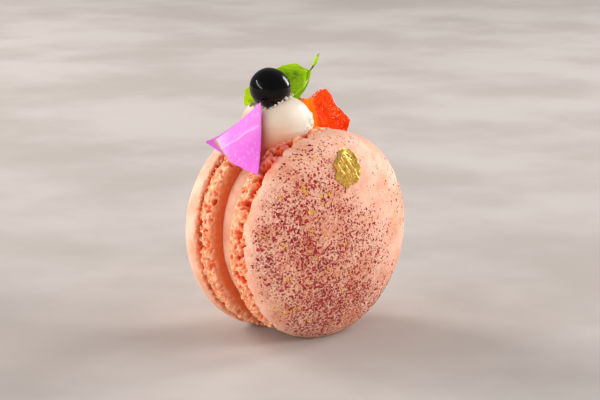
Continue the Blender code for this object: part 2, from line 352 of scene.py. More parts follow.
def grains(name: str, centres: Points, normals: Points, sizes: Points, flatness: float, sides: int,
           rng: np.random.Generator) -> bpy.types.Object:
    """Makes many small closed lumps on a surface, as one joined mesh.

    Args:
        name: the piece's name.
        centres: where each lump sits.
        normals: which way each lump faces.
        sizes: each lump's radius.
        flatness: height as a share of the radius.
        sides: corners round each lump.
        rng: where the uneven shapes come from.

    Returns:
        The piece, with a random number per lump in the attribute tone.
    """
    count = len(centres)
    helper = np.where(np.abs(normals[:, 2:3]) < 0.9, np.array([[0.0, 0.0, 1.0]]), np.array([[1.0, 0.0, 0.0]]))
    across = np.cross(helper, normals)
    across /= np.linalg.norm(across, axis=1)[:, None]
    along = np.cross(normals, across)
    turn = rng.uniform(0, 2 * math.pi, (count, 1)) + np.arange(sides) * 2 * math.pi / sides
    reach = sizes[:, None] * rng.uniform(0.65, 1.25, (count, sides))
    rim = centres[:, None] + across[:, None] * (reach * np.cos(turn))[..., None]
    rim += along[:, None] * (reach * np.sin(turn))[..., None]
    lift = normals * (sizes * flatness)[:, None]
    vertices = np.concatenate([rim, (centres + lift)[:, None], (centres - lift)[:, None]], axis=1)
    first = (np.arange(count) * (sides + 2))[:, None]
    here, after = np.arange(sides), (np.arange(sides) + 1) % sides
    upper = np.stack([first + here, first + after, np.broadcast_to(first + sides, (count, sides))], axis=-1)
    lower = np.stack([first + after, first + here, np.broadcast_to(first + sides + 1, (count, sides))], axis=-1)
    faces = np.concatenate([upper, lower], axis=1).reshape(-1, 3)
    mesh = bpy.data.meshes.new(name)
    mesh.from_pydata(vertices.reshape(-1, 3).tolist(), [], faces.tolist())
    piece = bpy.data.objects.new(name, mesh)
    bpy.context.scene.collection.objects.link(piece)
    paint(piece, "tone", np.repeat(rng.uniform(0, 1, count), sides + 2))
    return piece


def join(first: bpy.types.Object, *others: bpy.types.Object) -> None:
    """Joins other pieces into the first."""
    activate(first)
    for other in others:
        other.select_set(True)
    bpy.ops.object.join()


# ------------------------------------------------------------------ finishes


class Recipe:
    """Nodes of one material, wired from the surface's own patterns."""

    def __init__(self, name: str) -> None:
        """Starts a material with a Principled shader."""
        self.material = bpy.data.materials.new(name)
        self.material.use_nodes = True
        self.tree = self.material.node_tree
        self.shader = self.tree.nodes["Principled BSDF"]
        self.spot = self.tree.nodes.new("ShaderNodeTexCoord").outputs["Object"]

    def set(self, **values: float) -> None:
        """Sets the shader's own sockets, named with underscores for spaces."""
        for key, value in values.items():
            self.shader.inputs[key.replace("_", " ")].default_value = value

    def attribute(self, name: str) -> bpy.types.NodeSocket:
        """Reads a number stored on the mesh."""
        node = self.tree.nodes.new("ShaderNodeAttribute")
        node.attribute_name = name
        return node.outputs["Fac"]

    def noise(self, pitch: float, detail: float = 3.0, roughness: float = 0.55) -> bpy.types.NodeSocket:
        """Smooth noise with bumps about one pitch apart, in metres."""
        node = self.tree.nodes.new("ShaderNodeTexNoise")
        node.inputs["Scale"].default_value = 1 / pitch
        node.inputs["Detail"].default_value = detail
        node.inputs["Roughness"].default_value = roughness
        self.tree.links.new(self.spot, node.inputs["Vector"])
        return node.outputs["Fac"]

    def cells(self, pitch: float, feature: str = "F1") -> bpy.types.NodeSocket:
        """Distance to the nearest of many scattered points, one pitch apart."""
        node = self.tree.nodes.new("ShaderNodeTexVoronoi")
        node.feature = feature
        node.inputs["Scale"].default_value = 1 / pitch
        self.tree.links.new(self.spot, node.inputs["Vector"])
        return node.outputs["Distance"]

    def span(self, value: bpy.types.NodeSocket, low: float, high: float, start: float = 0.0,
             end: float = 1.0) -> bpy.types.NodeSocket:
        """Maps low to start and high to end, smoothly and held at both ends."""
        node = self.tree.nodes.new("ShaderNodeMapRange")
        node.interpolation_type = "SMOOTHSTEP"
        for key, number in (("From Min", low), ("From Max", high), ("To Min", start), ("To Max", end)):
            node.inputs[key].default_value = number
        self.tree.links.new(value, node.inputs["Value"])
        return node.outputs["Result"]

    def times(self, first: bpy.types.NodeSocket, second: bpy.types.NodeSocket | float) -> bpy.types.NodeSocket:
        """Multiplies two patterns."""
        node = self.tree.nodes.new("ShaderNodeMath")
        node.operation = "MULTIPLY"
        self.tree.links.new(first, node.inputs[0])
        if isinstance(second, float):
            node.inputs[1].default_value = second
        else:
            self.tree.links.new(second, node.inputs[1])
        return node.outputs[0]

    def blend(self, under: Colour | bpy.types.NodeSocket, over: Colour | bpy.types.NodeSocket,
              share: bpy.types.NodeSocket) -> bpy.types.NodeSocket:
        """Lays one colour over another where the share says so."""
        node = self.tree.nodes.new("ShaderNodeMix")
        node.data_type = "RGBA"
        for socket, colour in ((node.inputs[6], under), (node.inputs[7], over)):
            if isinstance(colour, tuple):
                socket.default_value = (*colour, 1.0)
            else:
                self.tree.links.new(colour, socket)
        self.tree.links.new(share, node.inputs[0])
        return node.outputs[2]

    def colour(self, socket: bpy.types.NodeSocket) -> None:
        """Sends a pattern to the shader's colour."""
        self.tree.links.new(socket, self.shader.inputs["Base Color"])

    def gloss(self, socket: bpy.types.NodeSocket) -> None:
        """Sends a pattern to the shader's roughness."""
        self.tree.links.new(socket, self.shader.inputs["Roughness"])

    def bump(self, height: bpy.types.NodeSocket, depth: float, strength: float = 1.0) -> None:
        """Roughens the surface by a pattern of this depth, in metres."""
        node = self.tree.nodes.new("ShaderNodeBump")
        node.inputs["Distance"].default_value = depth
        node.inputs["Strength"].default_value = strength
        self.tree.links.new(height, node.inputs["Height"])
        self.tree.links.new(node.outputs["Normal"], self.shader.inputs["Normal"])

    def matt(self, level: float) -> None:
        """Sets how much white sheen lies over the colour; 0.5 is the plain level."""
        self.set(Specular_IOR_Level=level)

    def soften(self, scale: float, tint: Colour, weight: float = 0.15) -> None:
        """Lets a little light through the surface, as moist food does."""
        self.set(Subsurface_Weight=weight, Subsurface_Scale=scale)
        self.shader.inputs["Subsurface Radius"].default_value = tint


@dataclass(frozen=True)
class BiscuitFinish:
    """Baked almond shell: peach skin, orange crumb in the foot, deep red-orange painted shade in the pits and
    orange painted shade in the recess by the seam.
    """

    name: str = "almond_biscuit"
    skin: Colour = srgb(250, 197, 172)
    skin_deep: Colour = srgb(238, 166, 134)
    crumb: Colour = srgb(244, 156, 108)
    crumb_pale: Colour = srgb(255, 204, 166)
    # Painted shade: red-orange in the foot's pits and deeper red in its caves.
    pit_shade: Colour = srgb(224, 70, 16)
    cave_shade: Colour = srgb(176, 26, 8)
    # Painted shade: orange on the shell's inner face and rounded lip by the seam.
    fold: Colour = srgb(214, 84, 6)
    stain: Colour = srgb(232, 92, 104)
    dust: Colour = srgb(166, 78, 40)

    def build(self) -> bpy.types.Material:
        """Makes the material."""
        mix = Recipe(self.name)
        skin = mix.blend(self.skin, self.skin_deep, mix.span(mix.noise(5 * MM, 4), 0.35, 0.7))
        haze = mix.times(mix.attribute("dust"), mix.span(mix.noise(0.5 * MM, 3, 0.6), 0.4, 0.62, 0.15, 0.95))
        dusted = mix.blend(skin, self.dust, haze)
        crumb = mix.blend(self.crumb, self.crumb_pale, mix.span(mix.noise(0.9 * MM, 3), 0.42, 0.7))
        base = mix.blend(dusted, crumb, mix.attribute("crumb"))
        # Painted shade on the inner face and rounded lip by the seam.
        shaded = mix.blend(base, self.fold, mix.times(mix.attribute("fold"), 0.85))
        stained = mix.blend(shaded, self.stain, mix.attribute("stain"))
        # Painted shade in the foot's pits, turning deeper red in the caves.
        pit_shaded = mix.blend(stained, self.pit_shade, mix.span(mix.attribute("pit_shade"), 0.0, 0.7))
        mix.colour(mix.blend(pit_shaded, self.cave_shade, mix.span(mix.attribute("pit_shade"), 0.7, 1.0)))
        mix.gloss(mix.span(mix.noise(1.2 * MM, 2), 0.3, 0.7, 0.52, 0.72))
        mix.bump(mix.noise(0.3 * MM, 3), 0.06 * MM, 0.5)
        mix.soften(1.4 * MM, (1.0, 0.35, 0.15), 0.12)
        return mix.material


@dataclass(frozen=True)
class ButtercreamFinish:
    """Smooth pale filling, darker in uneven patches."""

    name: str = "buttercream"
    body: Colour = srgb(230, 176, 146)
    deep: Colour = srgb(216, 148, 114)

    def build(self) -> bpy.types.Material:
        """Makes the material."""
        mix = Recipe(self.name)
        mix.colour(mix.blend(self.body, self.deep, mix.span(mix.noise(3 * MM, 3), 0.35, 0.7)))
        mix.gloss(mix.span(mix.noise(2 * MM, 2), 0.3, 0.7, 0.38, 0.55))
        mix.bump(mix.noise(1.5 * MM, 2), 0.05 * MM, 0.3)
        mix.soften(2.0 * MM, (1.0, 0.5, 0.3))
        return mix.material


@dataclass(frozen=True)
class CreamFinish:
    """Ivory cream, peach in painted shade away from its lit upper right, rose towards its foot and pink with
    painted petal light on its left flank.
    """

    name: str = "piped_cream"
    # The ivory top is the lit colour, and the peach below it is painted shade.
    top: Colour = srgb(224, 212, 194)
    body: Colour = srgb(220, 172, 140)
    # Rose towards the foot; on the left flank it is painted pink light from the petal.
    foot: Colour = srgb(230, 130, 104)

    def build(self) -> bpy.types.Material:
        """Makes the material."""
        mix = Recipe(self.name)
        # Painted shade: peach away from the lit upper right.
        body = mix.blend(self.top, self.body, mix.attribute("shade"))
        # Rose towards the foot, with painted petal light on the left flank.
        mix.colour(mix.blend(body, self.foot, mix.attribute("foot")))
        mix.gloss(mix.span(mix.noise(2.5 * MM, 2), 0.3, 0.7, 0.32, 0.5))
        mix.bump(mix.noise(1.1 * MM, 2), 0.04 * MM, 0.3)
        mix.soften(2.5 * MM, (1.0, 0.6, 0.4), 0.2)
        return mix.material


@dataclass(frozen=True)
class GlazeFinish:
    """Black glossy pearl with a dark red-brown glow low down."""

    name: str = "black_glaze"
    body: Colour = (0.0015, 0.001, 0.001)
    glow: Colour = (0.020, 0.004, 0.003)

    def build(self) -> bpy.types.Material:
        """Makes the material."""
        mix = Recipe(self.name)
        mix.colour(mix.blend(self.body, self.glow, mix.attribute("low")))
        mix.gloss(mix.span(mix.noise(1.6 * MM, 3), 0.4, 0.7, 0.12, 0.2))
        mix.bump(mix.noise(2.2 * MM, 1), 0.03 * MM, 0.25)
        mix.set(Specular_IOR_Level=0.22)
        return mix.material


@dataclass(frozen=True)
class PetalFinish:
    """Thin lilac petal with pale veins, a deeper hem and a dry beige cut edge."""

    name: str = "lilac_petal"
    body: Colour = srgb(228, 126, 214)
    deep: Colour = srgb(222, 104, 208)
    pale: Colour = srgb(250, 196, 244)
    under: Colour = srgb(206, 96, 200)
    dry: Colour = srgb(176, 152, 100)

    def build(self) -> bpy.types.Material:
        """Makes the material."""
        mix = Recipe(self.name)
        ground = mix.blend(self.body, self.deep, mix.attribute("deep"))
        mottled = mix.blend(ground, self.pale, mix.span(mix.noise(0.8 * MM, 4, 0.7), 0.5, 0.78, 0.0, 0.55))
        veined = mix.blend(mottled, self.pale, mix.attribute("pale"))
        turned_side = mix.blend(veined, self.under, mix.attribute("under"))
        mix.colour(mix.blend(turned_side, self.dry, mix.attribute("dry")))
        mix.gloss(mix.span(mix.noise(1.0 * MM, 2), 0.3, 0.7, 0.45, 0.65))
        mix.bump(mix.noise(0.45 * MM, 4, 0.7), 0.08 * MM, 0.6)
        mix.matt(0.2)
        mix.soften(1.0 * MM, (1.0, 0.5, 1.0), 0.1)
        return mix.material


@dataclass(frozen=True)
class LeafFinish:
    """Fresh yellow-green leaf with light veins, painted light on its left and top, and painted shade on its fold
    and by its midrib.
    """

    name: str = "green_leaf"
    body: Colour = srgb(154, 202, 0)
    # Painted light: the brighter green on the blade's left and top.
    bright: Colour = srgb(188, 224, 0)
    # Darker green for random patches, and also painted shade on the fold and a painted shadow.
    deep: Colour = srgb(78, 124, 0)
    vein: Colour = srgb(208, 226, 84)
    dry: Colour = srgb(66, 44, 20)

    def build(self) -> bpy.types.Material:
        """Makes the material."""
        mix = Recipe(self.name)
        # Painted light: brighter to the left and at the top.
        ground = mix.blend(self.body, self.bright, mix.attribute("bright"))
        patchy = mix.blend(ground, self.deep, mix.span(mix.noise(1.6 * MM, 4), 0.48, 0.75, 0.0, 0.6))
        # Painted shade on the fold strip and a painted shadow near the midrib.
        folded = mix.blend(patchy, self.deep, mix.attribute("deep"))
        veined = mix.blend(folded, self.vein, mix.attribute("vein"))
        mix.colour(mix.blend(veined, self.dry, mix.attribute("dry")))
        mix.gloss(mix.span(mix.noise(0.8 * MM, 2), 0.3, 0.7, 0.28, 0.48))
        mix.bump(mix.noise(0.5 * MM, 3), 0.05 * MM, 0.5)
        mix.matt(0.25)
        mix.soften(1.0 * MM, (0.6, 1.0, 0.1), 0.1)
        return mix.material


@dataclass(frozen=True)
class JellyFinish:
    """Orange-red sugared chip, lighter along its rolled left edge."""

    name: str = "orange_jelly"
    body: Colour = srgb(250, 74, 2)
    deep: Colour = srgb(232, 46, 2)
    light: Colour = srgb(255, 122, 4)

    def build(self) -> bpy.types.Material:
        """Makes the material."""
        mix = Recipe(self.name)
        ground = mix.blend(self.body, self.deep, mix.span(mix.noise(1.3 * MM, 4), 0.42, 0.68))
        mix.colour(mix.blend(ground, self.light, mix.attribute("light")))
        mix.gloss(mix.span(mix.noise(0.4 * MM, 3), 0.35, 0.7, 0.18, 0.5))
        mix.bump(mix.cells(0.35 * MM), 0.12 * MM, 0.6)
        mix.matt(0.08)
        mix.soften(1.5 * MM, (1.0, 0.25, 0.05), 0.1)
        return mix.material


@dataclass(frozen=True)
class FoilFinish:
    """Crumpled gold foil, with brown painted shade laid in noise patches for its creases."""

    name: str = "gold_foil"
    body: Colour = (0.98, 0.62, 0.13)
    # Brown painted shade for the creases.
    crease: Colour = (0.66, 0.32, 0.05)
    roughness: tuple[float, float] = (0.3, 0.5)
    metal: float = 0.7

    def build(self) -> bpy.types.Material:
        """Makes the material."""
        mix = Recipe(self.name)
        # Painted shade: brown in noise patches, standing for shade in the creases.
        mix.colour(mix.blend(self.body, self.crease, mix.span(mix.noise(0.5 * MM, 3), 0.45, 0.7)))
        mix.gloss(mix.span(mix.noise(0.7 * MM, 2), 0.3, 0.7, *self.roughness))
        mix.bump(mix.noise(0.22 * MM, 3), 0.05 * MM, 0.7)
        mix.set(Metallic=self.metal)
        return mix.material


@dataclass(frozen=True)
class GrainFinish:
    """Powder or crumb whose grains differ between two colours."""

    name: str
    first: Colour
    second: Colour
    roughness: float = 0.7
    softness: float = 0.0

    def build(self) -> bpy.types.Material:
        """Makes the material."""
        mix = Recipe(self.name)
        tone = mix.blend(self.first, self.second, mix.attribute("tone"))
        mix.colour(mix.blend(tone, self.second, mix.span(mix.noise(0.2 * MM, 2), 0.5, 0.8, 0.0, 0.4)))
        mix.set(Roughness=self.roughness)
        if self.softness:
            mix.soften(1.0 * MM, (1.0, 0.8, 0.7), self.softness)
        return mix.material


@dataclass(frozen=True)
class FloorFinish:
    """Pale stone table, softly uneven."""

    name: str = "pale_table"
    light: Colour = srgb(188, 179, 173)
    dark: Colour = srgb(174, 164, 157)

    def build(self) -> bpy.types.Material:
        """Makes the material."""
        mix = Recipe(self.name)
        mix.colour(mix.blend(self.light, self.dark, mix.span(mix.noise(60 * MM, 4), 0.35, 0.65)))
        mix.set(Roughness=0.8)
        return mix.material


# ------------------------------------------------------------------ the macaron


@dataclass
class Body:
    """What all pieces share: the centre between the shells and the shells' radius, read from the solids."""

    centre: Vector
    radius: float

    @classmethod
    def from_frame(cls) -> "Body":
        """Reads the centre from the filling's box and the radius from the front shell's."""
        low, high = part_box("filling")
        left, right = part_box("front_shell")
        return cls(centre=(low + high) / 2, radius=(right.x - left.x) / 2)

    def put(self, points: Points) -> Points:
        """Moves places counted from the centre into the frame."""
        return points + np.array(self.centre)


@dataclass
class Shell:
    """One shell: a domed top whose ragged edge hangs over a bubbly foot."""

    body: Body
    side: Side
    foot: float
    dome: float
    lean: float
    seed: int
    half_seam: float
    groove: float
    craters: tuple[tuple[float, float, float, float, float], ...] = ()
    stains: tuple[tuple[float, float, float, float], ...] = ()
    foot_radius: float = 21.7 * MM
    lip_round: float = 2.0 * MM
    settled: float = 0.985
    power: float = 2.46
    steps: int = 640
    foot_rows: int = 52
    dome_rows: int = 62
    raggedness: float = 0.55 * MM

    @property
    def node(self) -> str:
        """Name of the solid that this shell stands for."""
        return f"{self.side.name.lower()}_shell"

    def place(self, points: Points) -> Points:
        """Turns rows of x, depth and z in the shell's own axes into places in the frame."""
        local = points * np.array((1.0, self.side.value, 1.0))
        local[:, 2] *= np.where(local[:, 2] > 0, self.settled, 1.0)
        turn = np.array(Matrix.Rotation(-self.side.value * self.lean, 3, "X"))
        return self.body.put(local @ turn.T)

    def dome_depth(self, radius: Points) -> Points:
        """Depth of the dome's surface from the seam's middle, at this distance from the axis."""
        share = np.clip(1 - (np.abs(radius) / self.body.radius) ** self.power, 0, 1)
        return self.half_seam + self.foot + self.dome * share ** (1 / self.power)

    def on_dome(self, across: Points, up: Points) -> tuple[Points, Points]:
        """Finds the dome's surface.

        Args:
            across: distance right of the axis.
            up: distance above the axis.

        Returns:
            Places and outward normals in the frame.
        """
        step = 0.05 * MM
        radius = np.hypot(across, up)
        slope = (self.dome_depth(radius + step) - self.dome_depth(radius - step)) / (2 * step)
        unit = np.maximum(radius, 1e-9)
        normal = np.stack([-slope * across / unit, np.ones(len(across)), -slope * up / unit], axis=1)
        normal /= np.linalg.norm(normal, axis=1)[:, None]
        here = np.stack([across, self.dome_depth(radius), up], axis=1)
        return self.place(here), self.place(here + normal) - self.place(here)

    def profile(self) -> list[tuple[float, float]]:
        """Lists radius and depth from the middle of the inner face, round the foot, to the dome's top."""
        inner = self.foot_radius - self.lip_round
        rows = [(share * inner, self.half_seam) for share in (0, 0.4, 0.75, 0.9)]
        for k in range(self.foot_rows + 1):
            share = k / self.foot_rows
            rounded = self.lip_round * (1 - math.sin(math.pi / 2 * min(1.0, share / 0.28)) ** 0.9)
            belly = 0.5 * MM * math.sin(math.pi * min(1.0, share * 1.15)) ** 0.8
            tuck = self.groove * max(0.0, (share - 0.72) / 0.28) ** 1.5
            rows.append((self.foot_radius + belly - tuck - rounded, self.half_seam + share * 0.92 * self.foot))
        edge = (self.foot_radius - self.groove, self.half_seam + 0.95 * self.foot)
        lip = (self.body.radius - 0.2 * MM, self.half_seam + 0.93 * self.foot)
        for k in range(1, 9):
            share = k / 8
            rows.append((edge[0] + (lip[0] - edge[0]) * share, edge[1] + (lip[1] - edge[1]) * share))
        for k in range(self.dome_rows + 1):
            angle = math.pi / 2 * k / self.dome_rows
            radius = self.body.radius * math.cos(angle) ** (2 / self.power)
            depth = self.half_seam + self.foot + self.dome * math.sin(angle) ** (2 / self.power)
            rows.append((radius if k < self.dome_rows else 0.0, depth))
        return rows

    def model(self) -> bpy.types.Object:
        """Turns the shell, then works the crags, the ragged edge and the flat rim into it."""
        piece = turned(self.node + "_baked", self.profile(), self.steps)
        flat = places(piece)
        radius = np.hypot(flat[:, 0], flat[:, 2])
        beyond = flat[:, 1] - self.half_seam - self.foot
        share = (flat[:, 1] - self.half_seam) / self.foot
        outward = flat * np.array((1.0, 0.0, 1.0)) / np.maximum(radius, 1e-9)[:, None]
        rim = ramp(radius, self.foot_radius - self.lip_round, self.foot_radius - 0.5 * MM)
        band = rim * ramp(share, 1.0, 0.93) * ramp(share, 0.04, 0.2)
        under_edge = ramp(share, 0.45, 0.85)

        # The second value is painted shade for the foot's bubbles and craters.
        sunk, pit_shade = self.crags(flat, under_edge)
        ridged = 1 - 2 * np.abs(waves(flat, 1.7 * MM, self.seed + 9, 3))
        lumps = 0.36 * MM * ridged + 0.24 * MM * waves(flat, 0.65 * MM, self.seed + 13, 2)
        flat = flat + outward * (band * (lumps - sunk) - 0.1 * MM * band)[:, None]

        edge = ramp(share, 0.84, 0.93) * ramp(beyond, 1.5 * MM, -0.2 * MM)
        edge *= ramp(radius, self.foot_radius - 1.4 * MM, self.foot_radius - 0.2 * MM)
        tooth = 1.3 * waves(flat, 1.6 * MM, self.seed + 17, 2) + 0.4 * waves(flat, 0.6 * MM, self.seed + 19)
        tooth += 0.5 * waves(flat, 5 * MM, self.seed + 23)
        bite, bite_tag = bubbles(flat * np.array((1, 0.3, 1)), 1.7 * MM, self.seed + 29)
        bitten = ramp(bite, 0.55, 0.2) * (bite_tag < 0.5)
        flat[:, 1] += edge * (self.raggedness * (tooth + 1.3 * bitten))
        flat = flat - outward * (edge * 0.7 * self.raggedness * bitten)[:, None]
        skin = ramp(share, 0.97, 1.1)
        swell = 0.12 * MM * waves(flat, 9 * MM, self.seed + 31, 2)
        swell = swell + 0.014 * MM * waves(flat, 0.8 * MM, self.seed + 37)
        flat = flat + (outward * 0.6 + np.array((0, 0.6, 0))) * (skin * swell)[:, None]

        final = self.place(flat)
        final[:, 2] = np.maximum(final[:, 2], 0.0)
        move_to(piece, final)
        paint(piece, "crumb", ramp(share, 1.06, 0.95))
        # Painted shade: the foot's bubbles and craters, stronger under the dome's edge.
        paint(piece, "pit_shade", np.clip(band * pit_shade, 0, 1))
        # Painted shade on the inner face and rounded lip by the seam.
        paint(piece, "fold", ramp(share, 0.2, 0.02) * rim + (1 - rim) * (share < 0.5))
        paint(piece, "stain", self.stained(flat, share))
        paint(piece, "dust", self.dusty(flat[:, 0], flat[:, 2]) * ramp(share, 1.02, 1.35))
        settle(piece)
        smooth(piece)
        return piece

    def crags(self, spots: Points, under_edge: Points) -> tuple[Points, Points]:
        """Works out the bubbles of the foot.

        Args:
            spots: places in the shell's own axes.
            under_edge: 1 close under the dome's edge, 0 towards the seam.

        Returns:
            How far each place sinks, and how much painted shade it gets, from 0 to 1.
        """
        warped = spots + 0.45 * MM * waves(spots, 1.3 * MM, self.seed + 1, 2)[:, None]
        big, big_tag = bubbles(warped, 2.0 * MM, self.seed)
        mid, mid_tag = bubbles(warped, 1.05 * MM, self.seed + 50)
        fine, fine_tag = bubbles(spots, 0.58 * MM, self.seed + 90)
        caves = ramp(big, 0.55, 0.36) * (big_tag < 0.12 + 0.68 * under_edge)
        holes = ramp(mid, 0.52, 0.34) * (mid_tag < 0.5 + 0.2 * under_edge)
        pores = ramp(fine, 0.5, 0.3) * (fine_tag < 0.5)
        sunk = (0.7 + 1.5 * under_edge) * MM * caves + 0.7 * MM * holes + 0.3 * MM * pores
        # Painted shade in the caves, holes and pores, stronger under the dome's edge.
        colour = caves * (0.5 + 0.5 * under_edge) + 0.55 * holes + 0.4 * pores
        for x, depth, z, reach, sink in self.craters:
            gap = np.linalg.norm(warped - np.array((x, depth, z)) * MM, axis=1)
            bowl = ramp(gap, reach * MM, 0.55 * reach * MM)
            sunk = np.maximum(sunk, bowl * sink * MM)
            colour = np.maximum(colour, bowl)
        return sunk, np.clip(colour, 0, 1)

    def stained(self, spots: Points, share: Points) -> Points:
        """How rose the biscuit is, where fruit juice has run on it."""
        total = np.zeros(len(spots))
        for x, depth, z, reach in self.stains:
            gap = np.linalg.norm(spots - np.array((x, depth, z)) * MM, axis=1)
            total = np.maximum(total, ramp(gap, reach * MM, 0.3 * reach * MM))
        return total * (0.6 + 0.4 * waves(spots, 1.2 * MM, 7, 2)) * ramp(share, 1.35, 1.0)

    def dusty(self, across: Points, up: Points) -> Points:
        """How thickly fruit powder lies on the dome, from 0 to 1."""
        if self.side is Side.BACK:
            return np.zeros(len(across))
        cloud = np.exp(-(((across + 13 * MM) / (15 * MM)) ** 2) - ((up - 1 * MM) / (16 * MM)) ** 2)
        low = np.exp(-(((across + 4 * MM) / (19 * MM)) ** 2) - ((up + 14 * MM) / (12 * MM)) ** 2)
        bare = 1 - 0.75 * np.exp(-(((across - 9 * MM) / (9 * MM)) ** 2) - ((up - 13 * MM) / (10 * MM)) ** 2)
        patchy = 0.8 + 0.5 * waves(np.stack([across, 0 * across, up], axis=1), 3.2 * MM, 3, 3)
        radius = np.hypot(across, up)
        clean = ramp(radius, 23 * MM, 21.6 * MM) * 0.4 + 0.6
        return np.clip((0.2 + 0.7 * np.maximum(cloud, 0.9 * low)) * patchy * clean * bare, 0, 1)

    def dress(self, finish: bpy.types.Material) -> bpy.types.Object:
        """Builds the shell, gives it its finish and puts it in the frame."""
        piece = self.model()
        return hand_over(piece, finish, Slot.BISCUIT, self.node)


def hand_over(piece: bpy.types.Object, finish: bpy.types.Material, slot: Slot, *nodes: str) -> bpy.types.Object:
    """Gives a piece its finish, hangs it on the root body and hides the solids that it stands for.

    Args:
        piece: the finished piece.
        finish: its material.
        slot: the record's slot; not used.
        nodes: the solids that it stands for, if any.

    Returns:
        The same piece.
    """
    piece.data.materials.clear()
    piece.data.materials.append(finish)
    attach(piece, "root")
    if nodes:
        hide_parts(*nodes)
    log.info("%s: %d faces", piece.name, len(piece.data.polygons))
    return piece


@dataclass
class Filling:
    """Buttercream disc between the shells, set back from their lips."""

    body: Body
    radius: float = 19.4 * MM
    half: float = 2.25 * MM
    offset: float = 0.4 * MM
    lean: float = math.radians(1.45)

    def dress(self, finish: bpy.types.Material) -> bpy.types.Object:
        """Builds the disc with a softly bulged, uneven edge."""
        rows = [(share * self.radius, -self.half) for share in (0, 0.5, 0.9)]
        for k in range(25):
            way = -1 + 2 * k / 24
            rows.append((self.radius - 0.35 * MM * abs(way) ** 3, self.half * way))
        rows += [(share * self.radius, self.half) for share in (0.9, 0.5, 0)]
        piece = turned("filling_buttercream", rows, 360)
        flat = places(piece)
        radius = np.hypot(flat[:, 0], flat[:, 2])
        rim = ramp(radius, 0.92 * self.radius, 0.99 * self.radius)
        wedge = 1 + flat[:, 2] * math.tan(self.lean) / self.half
        uneven = 0.28 * MM * waves(flat, 7 * MM, 3, 2) + 0.07 * MM * waves(flat, 1.3 * MM, 5, 2)
        flat[:, (0, 2)] *= (1 + rim * uneven / self.radius)[:, None]
        flat[:, 1] = flat[:, 1] * wedge + self.offset
        move_to(piece, self.body.put(flat))
        settle(piece)
        smooth(piece)
        return hand_over(piece, finish, Slot.FILLING, "filling")


@dataclass
class Pearl:
    """Glossy black pearl, a little egg-shaped, that sits in the cream."""

    body: Body
    at: Vector = field(default_factory=lambda: Vector((-6.78, 0.78, 30.77)) * MM)
    half: Vector = field(default_factory=lambda: Vector((4.47, 4.47, 4.2)) * MM)

    def distance(self, points: Points) -> Points:
        """Distance of places, counted from the centre, to the pearl's skin in shares of its radius."""
        return np.linalg.norm((points - np.array(self.at)) / np.array(self.half), axis=1)

    def dress(self, finish: bpy.types.Material) -> bpy.types.Object:
        """Builds the pearl from a sphere flattened a little at its upper right and lower right."""
        deselect_all()
        bpy.ops.mesh.primitive_uv_sphere_add(segments=128, ring_count=80, radius=1.0)
        piece = take_new("pearl_glazed")
        unit = places(piece)
        shoulder = unit @ np.array((0.5, -0.5, 0.71))
        low_side = unit @ np.array((0.5, -0.5, -0.71))
        full = 1 - 0.05 * ramp(shoulder, 0.5, 1.0) - 0.03 * ramp(low_side, 0.4, 1.0)
        full += 0.004 * waves(unit * MM, 0.9 * MM, 2, 2)
        spots = unit * full[:, None] * np.array(self.half) + np.array(self.at)
        move_to(piece, self.body.put(spots))
        paint(piece, "low", ramp(unit @ np.array((0.35, -0.35, -0.87)), 0.35, 1.0))
        settle(piece)
        smooth(piece)
        return hand_over(piece, finish, Slot.PEARL, "pearl")


